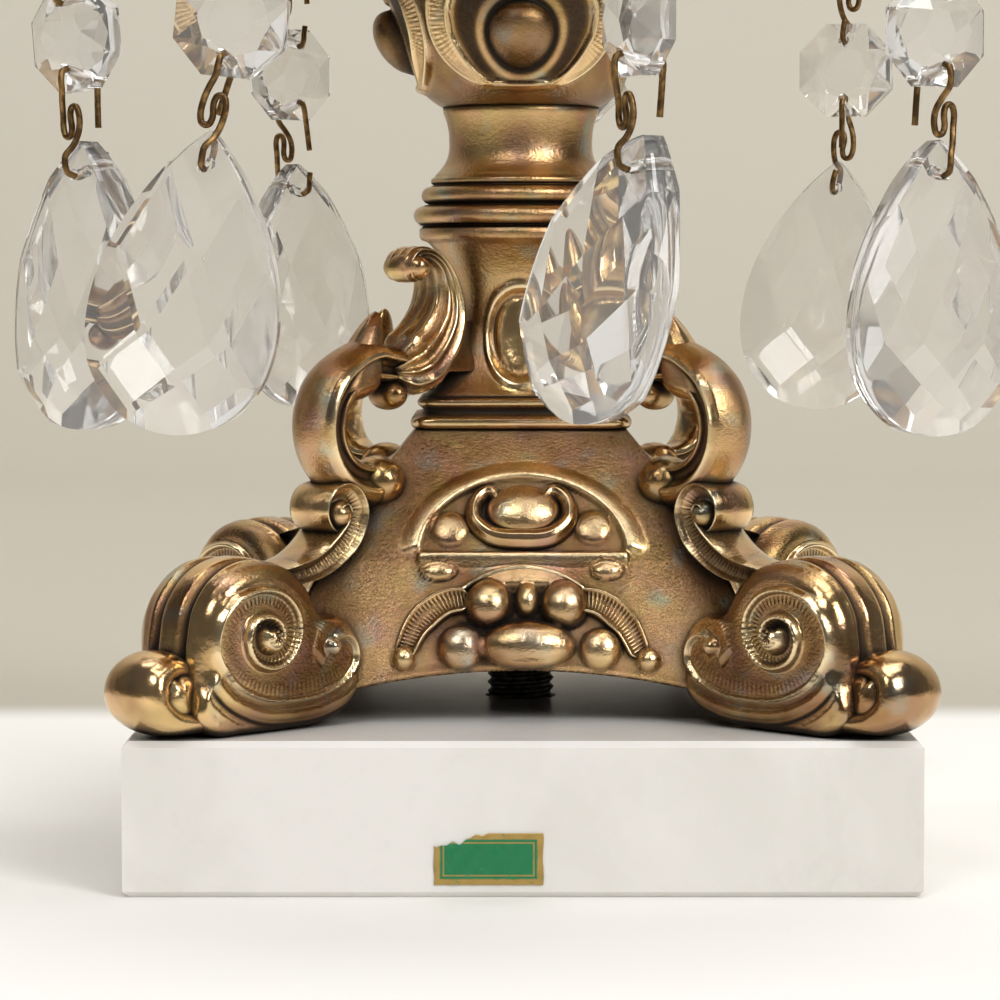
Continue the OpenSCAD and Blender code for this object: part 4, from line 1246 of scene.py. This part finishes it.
def addCup():
    # tulip cup: outer wall with raised petals that part at the mouth, round bead rim, bored for a candle
    z, tall, candle = zCup, zTop - zCup, cup["candle"]
    mouth, base = candle + cup["wall"], candle + 0.6
    bowl = np.linspace(0, 1, 64)
    belly = base + 1.2 + (mouth + 2.6 - base - 1.2) * (1 - (2 * bowl - 1) ** 2)
    body = np.stack([belly, z + cup["bowlLow"] + bowl * tall * cup["bowlShare"]], axis=1)
    neck = np.linspace(-1, 1, 24)
    reach = tall * (1 - cup["throatShare"]) - 4.4
    rise = z + tall * cup["throatShare"] + (neck + 1) / 2 * reach
    throat = np.stack([mouth - 0.4 + 0.8 * neck**2, rise], axis=1)
    stem = np.linspace(-1, 1, 14)
    low = np.stack([base - 0.6 + 0.6 * stem**2, z + 2.4 + (stem + 1) / 2 * 4.6], axis=1)
    outer = np.concatenate([
        [[base + 0.3, z + clear]], beadRing(base + 1.2, 1.0, z + 0.1, z + 2.2), low, body, throat,
        beadRing(mouth + 3.0, 1.5, zTop - 3.6, zTop - clear)])
    inner = [[candle + 0.4, zTop - clear], [candle, zTop - 0.5], [candle, z + cup["socket"]],
             [cup["nutRoom"], z + cup["socket"]], [cup["nutRoom"], z + cup["floor"]],
             [boreRadius, z + cup["floor"]], [boreRadius, z + clear]]
    a = np.linspace(0, tau, cup["around"] + 1)
    r, h = outer[:, :1], outer[:, 1:]
    share = np.clip((h - z - 7.0) / (tall * 0.5), 0, 1)
    face = (np.mod(a * cup["petals"] / tau, 1) - 0.5) * 2
    tip = 1 - np.abs(face) ** 2.2
    petal = ease(-0.06, 0.06, tip * 0.98 + 0.02 - share) * ease(0, 0.05, share) * (share < 1)
    fold = hill(face, 0.07) * petal
    veins = np.cos(9 * face * (1.2 - 0.5 * share)) * petal
    lift = cup["petalLift"] * petal * np.sqrt(np.clip(share * 3, 0, 1)) + 0.3 * fold + 0.10 * veins
    lift = lift + 0.25 * np.cos(cup["beads"] * a) * hill(h - (zTop - 1.8), 1.0)
    outlineDark = hill(tip - share, 0.05) * (share > 0) * (share < 1)
    tone = 0.46 + 0.10 * petal + 0.3 * fold + 0.16 * veins - 0.3 * outlineDark
    wall = ringOf(r + lift, a, h)
    grid = np.concatenate([wall, turned(inner, cup["around"]), wall[:1]])
    addBrass("cup_tulip", [toned(grid, tone, 0.45)], ["candle_cup"])


addPan()
addCup()
print("pan and cup ready")

# crystal strands

strand = {
    "wire": 0.5, "drawn": 0.43, "play": 0.3, "link": 13.8, "ringLoop": 2.1, "bendHigh": 8.9, "bendLow": 5.0,
    "linkReach": 2.2, "hookReach": 1.8, "octagon": 14.0, "octagonHole": 4.4, "octagonEdge": 1.1,
    "octagonRise": 1.9, "octagonTable": 0.26,
    "dropHigh": 38.0, "dropWide": 24.0, "dropThick": 10.0, "dropEdge": 2.8, "dropHole": 4.4,
    "dropStep": 0.19,
}
strandPoses = [
    # hole in the pan, octagons' turn, drop's turn, lean of the lowest link, of the drop, of all
    (7, -38, -40, 0, -8, 6), (8, -12, -8, -5, 2, -6.5), (5, -139, -139, -3, -2, 0),
    (0, -62, -52, 4, -30, 0), (3, 165, 165, 6, 1, 0), (1, 30, 26, 0, 0, 0), (4, 172, 172, 0, 2, 0),
]
octagonHalf = strand["octagon"] / 2
octagonTable = strand["octagon"] * strand["octagonTable"]
octagonSlope = (octagonHalf - strand["octagonHole"]) / (octagonHalf - octagonTable)
octagonGrip = strand["octagonEdge"] + strand["octagonRise"] * octagonSlope
dropBelly = strand["dropHigh"] - strand["dropWide"] / 2
dropRise = (strand["dropThick"] - strand["dropEdge"]) / 2
dropGrip = strand["dropThick"] / 2 - dropRise * (1 - strand["dropHole"] / dropBelly) ** 2 + 0.5


def eyeBend(y, z, up):
    # the wire bends over into a hole and out again, legs at y and -y
    turn = np.array([[0, 0.85], [0.25, 0.25], [0.8, 0]])
    there = gridOf(0, y - turn[:, 0], z + up * turn[:, 1])
    return np.concatenate([there, (there * [1, -1, 1])[::-1]])


def flatS(y):
    # the flat S of a link: three runs of wire side by side
    pitch = 2 * strand["wire"] + 0.4
    q, high, low = pitch / 2, strand["bendHigh"] - strand["link"], strand["bendLow"] - strand["link"]
    a = np.radians(np.arange(0, 181, 45))
    under = gridOf(q + q * np.cos(-a), y, low + q + q * np.sin(-a))
    over = gridOf(-q + q * np.cos(a), y, high - q + q * np.sin(a))
    return np.concatenate([[[pitch, y, high - 0.9]], under, over, [[-pitch, y, low + 0.9]]])


def linkTail(y):
    # from the flat S down through the next crystal's hole, with a short free end
    far, reach = strand["link"], strand["linkReach"]
    return np.concatenate([[[-0.8, (y + reach) / 2, 3.6 - far], [-0.1, y, 2.4 - far]], eyeBend(y, -far, 1),
                           [[0.1, -y, 1.9 - far], [0.3, -y, 3.0 - far]]])


def linkRoute(yUp, yLow):
    # a link between two crystals: long free end, eye, flat S, eye
    reach = strand["linkReach"]
    return np.concatenate([[[0.7, -yUp, -7.4], [0.2, -yUp, -2.4]], eyeBend(yUp, 0, -1)[::-1],
                           [[0.1, yUp, -2.6], [0.8, (yUp + reach) / 2, -4.1]],
                           flatS(reach), linkTail(yLow)])


def hookRoute(yLow, turn):
    # the top wire loops through a lug of the pan, then follows the link's shape
    a = np.radians(np.arange(242, -47, -32))
    ring = gridOf(0, strand["ringLoop"] * np.cos(a), strand["ringLoop"] * np.sin(a))
    step = turnZ(np.array([[0.5, 0.9, -3.0]]), turn / 2)
    return np.concatenate([turnZ(ring, turn), step, flatS(strand["hookReach"]), linkTail(yLow)])


def easedTurn(route, turn):
    # the lower part of a route turned to face the next crystal
    return turnZ(route, np.clip((-route[:, 2] - 3.2) / (strand["link"] - 6.4), 0, 1) * turn)


def wireTube(route, sides=12):
    # a circle carried along a smooth run through the route, its frame passed on from ring to ring
    path = curveThrough(route, 7 * len(route))
    head = heading(path)
    side = np.cross(head[0], [1, 0.3, 0.2])
    frames = []
    for h in head:
        side = side - (side @ h) * h
        side = side / np.linalg.norm(side)
        frames.append(side)
    u = np.array(frames)[:, None]
    v = np.cross(head, u[:, 0])[:, None]
    a = np.linspace(0, tau, sides + 1)[None, :, None]
    tube = path[:, None] + strand["drawn"] * (np.cos(a) * u + np.sin(a) * v)
    caps = [np.stack([np.broadcast_to(path[i], tube[i].shape), tube[i]]) for i in (0, -1)]
    return [(g, 0.5) for g in [tube] + caps]


def pearDrop():
    # pear outline, extruded, its faces cut by planes that touch a dome at a lattice of points
    high, wide, thick = strand["dropHigh"], strand["dropWide"], strand["dropThick"]
    a = np.linspace(0, tau, 120, endpoint=False)
    x = np.sin(a) * np.abs(np.sin(a / 2)) ** 0.78
    x = x / np.abs(x).max() * wide / 2
    z = -high * (1 - np.cos(a)) / 2
    work = bmesh.new()
    rings = [[work.verts.new((px, y, pz)) for px, pz in zip(x, z)] for y in (thick / 2, -thick / 2)]
    work.faces.new(rings[0])
    work.faces.new(rings[1][::-1])
    for i in range(len(a)):
        j = (i + 1) % len(a)
        work.faces.new((rings[0][j], rings[0][i], rings[1][i], rings[1][j]))
    step = wide * strand["dropStep"]
    places = range(-2, 3)
    lattice = [(side, i, j) for side in (1, -1) for j in places for i in places if (i + j) % 2 == 0]
    for side, i, j in lattice:
        far = dropBelly if j > 0 else wide / 2  # the upper half is longer
        px, pz = i * step, j * step * far / (wide / 2)
        ka, kb = dropRise / (wide / 2) ** 2, dropRise / far ** 2
        touch = (px, side * (thick / 2 - ka * px * px - kb * pz * pz), pz - dropBelly)
        everything = work.verts[:] + work.edges[:] + work.faces[:]
        cut = bmesh.ops.bisect_plane(work, geom=everything, dist=1e-5, plane_co=touch,
                                     plane_no=(2 * ka * px, side, 2 * kb * pz), clear_outer=True)
        edges = [e for e in cut["geom_cut"] if isinstance(e, bmesh.types.BMEdge)]
        bmesh.ops.edgeloop_fill(work, edges=edges)
    bmesh.ops.recalc_face_normals(work, faces=work.faces)
    for face in work.faces:
        face.smooth = abs(face.normal.y) < 0.25
    return work


def benchObject(work, name):
    # a bmesh as an object that is removed again after the drilling
    mesh = bpy.data.meshes.new(name)
    work.to_mesh(mesh)
    work.free()
    made = bpy.data.objects.new(name, mesh)
    scene.collection.objects.link(made)
    return made


def drilledDrop():
    # the drop with its hole, as arrays of points and faces, made once for all strands
    blank = benchObject(pearDrop(), "pearBlank")
    radius = strand["wire"] + strand["play"]
    bit = bmesh.new()
    bmesh.ops.create_cone(bit, cap_ends=True, segments=28, radius1=radius, radius2=radius, depth=30)
    drill = benchObject(bit, "pearBlankBit")
    drill.data.shade_smooth()
    drill.rotation_euler = (quarter, 0, 0)
    drill.location = (0, 0, -strand["dropHole"])
    cut = blank.modifiers.new("drill", "BOOLEAN")
    cut.operation, cut.object, cut.solver = "DIFFERENCE", drill, "EXACT"
    bpy.context.view_layer.update()
    done = blank.evaluated_get(bpy.context.evaluated_depsgraph_get()).to_mesh()
    points = np.zeros(len(done.vertices) * 3)
    done.vertices.foreach_get("co", points)
    faces = [list(p.vertices) for p in done.polygons]
    soft = [p.use_smooth for p in done.polygons]
    for spare in (drill, blank):
        mesh = spare.data
        bpy.data.objects.remove(spare)
        bpy.data.meshes.remove(mesh)
    return points.reshape(-1, 3), faces, soft


def addStrand(name, pose, drop):
    # wires, drop and octagons of one strand; its own frame has the upper hole at the origin
    hole, turn, dropTurn, linkLean, dropLean, strandLean = pose
    points, faces, soft = drop
    grip, gripLow = (size + strand["play"] + strand["wire"] for size in (octagonGrip, dropGrip))
    eyes = strand["link"] + 2 * strand["octagonHole"]
    lugTurn = pan["turn"] + holeStep * hole
    lugAt = frontRing(pan["hang"], math.radians(lugTurn), zPan + pan["thick"])

    def hung(shape, down):
        # from the strand's own frame to the part's frame
        return turnZ(lean(shape - [0, 0, down], strandLean), 180 + turn) + lugAt

    hookTurn = (lugTurn - turn + 180) % 360 - 180
    lowest = lean(easedTurn(linkRoute(grip, gripLow), dropTurn - turn), linkLean)
    routes = {"top": hung(hookRoute(grip, hookTurn), 0), "middle": hung(linkRoute(grip, grip), eyes),
              "lower": hung(lowest, 2 * eyes)}
    bodies = [name + part for part in ("upper", "middle", "lower")]
    for body, (part, route) in zip(bodies, routes.items()):
        addPiece(name + part + "_wire", wireTube(route), body, wireBrass, [name + part + "_link"])
    points = turnZ(lean(points + [0, 0, strand["dropHole"]], dropLean), dropTurn - turn)
    points = hung(lean(points - [0, 0, strand["link"]], linkLean), 2 * eyes)
    mesh = bpy.data.meshes.new(name + "pear")
    mesh.from_pydata(points * mm, [], faces)
    mesh.polygons.foreach_set("use_smooth", soft)
    placePiece(name + "pear", mesh, bodies[2], crystal, [name + "drop"])
    for part in ("upper_octagon", "lower_octagon"):
        finishNode(name + part, crystal)


pear = drilledDrop()
for number, pose in enumerate(strandPoses, 1):
    addStrand("strand_%d_" % number, pose, pear)
print("strands ready")

bpy.context.view_layer.update()
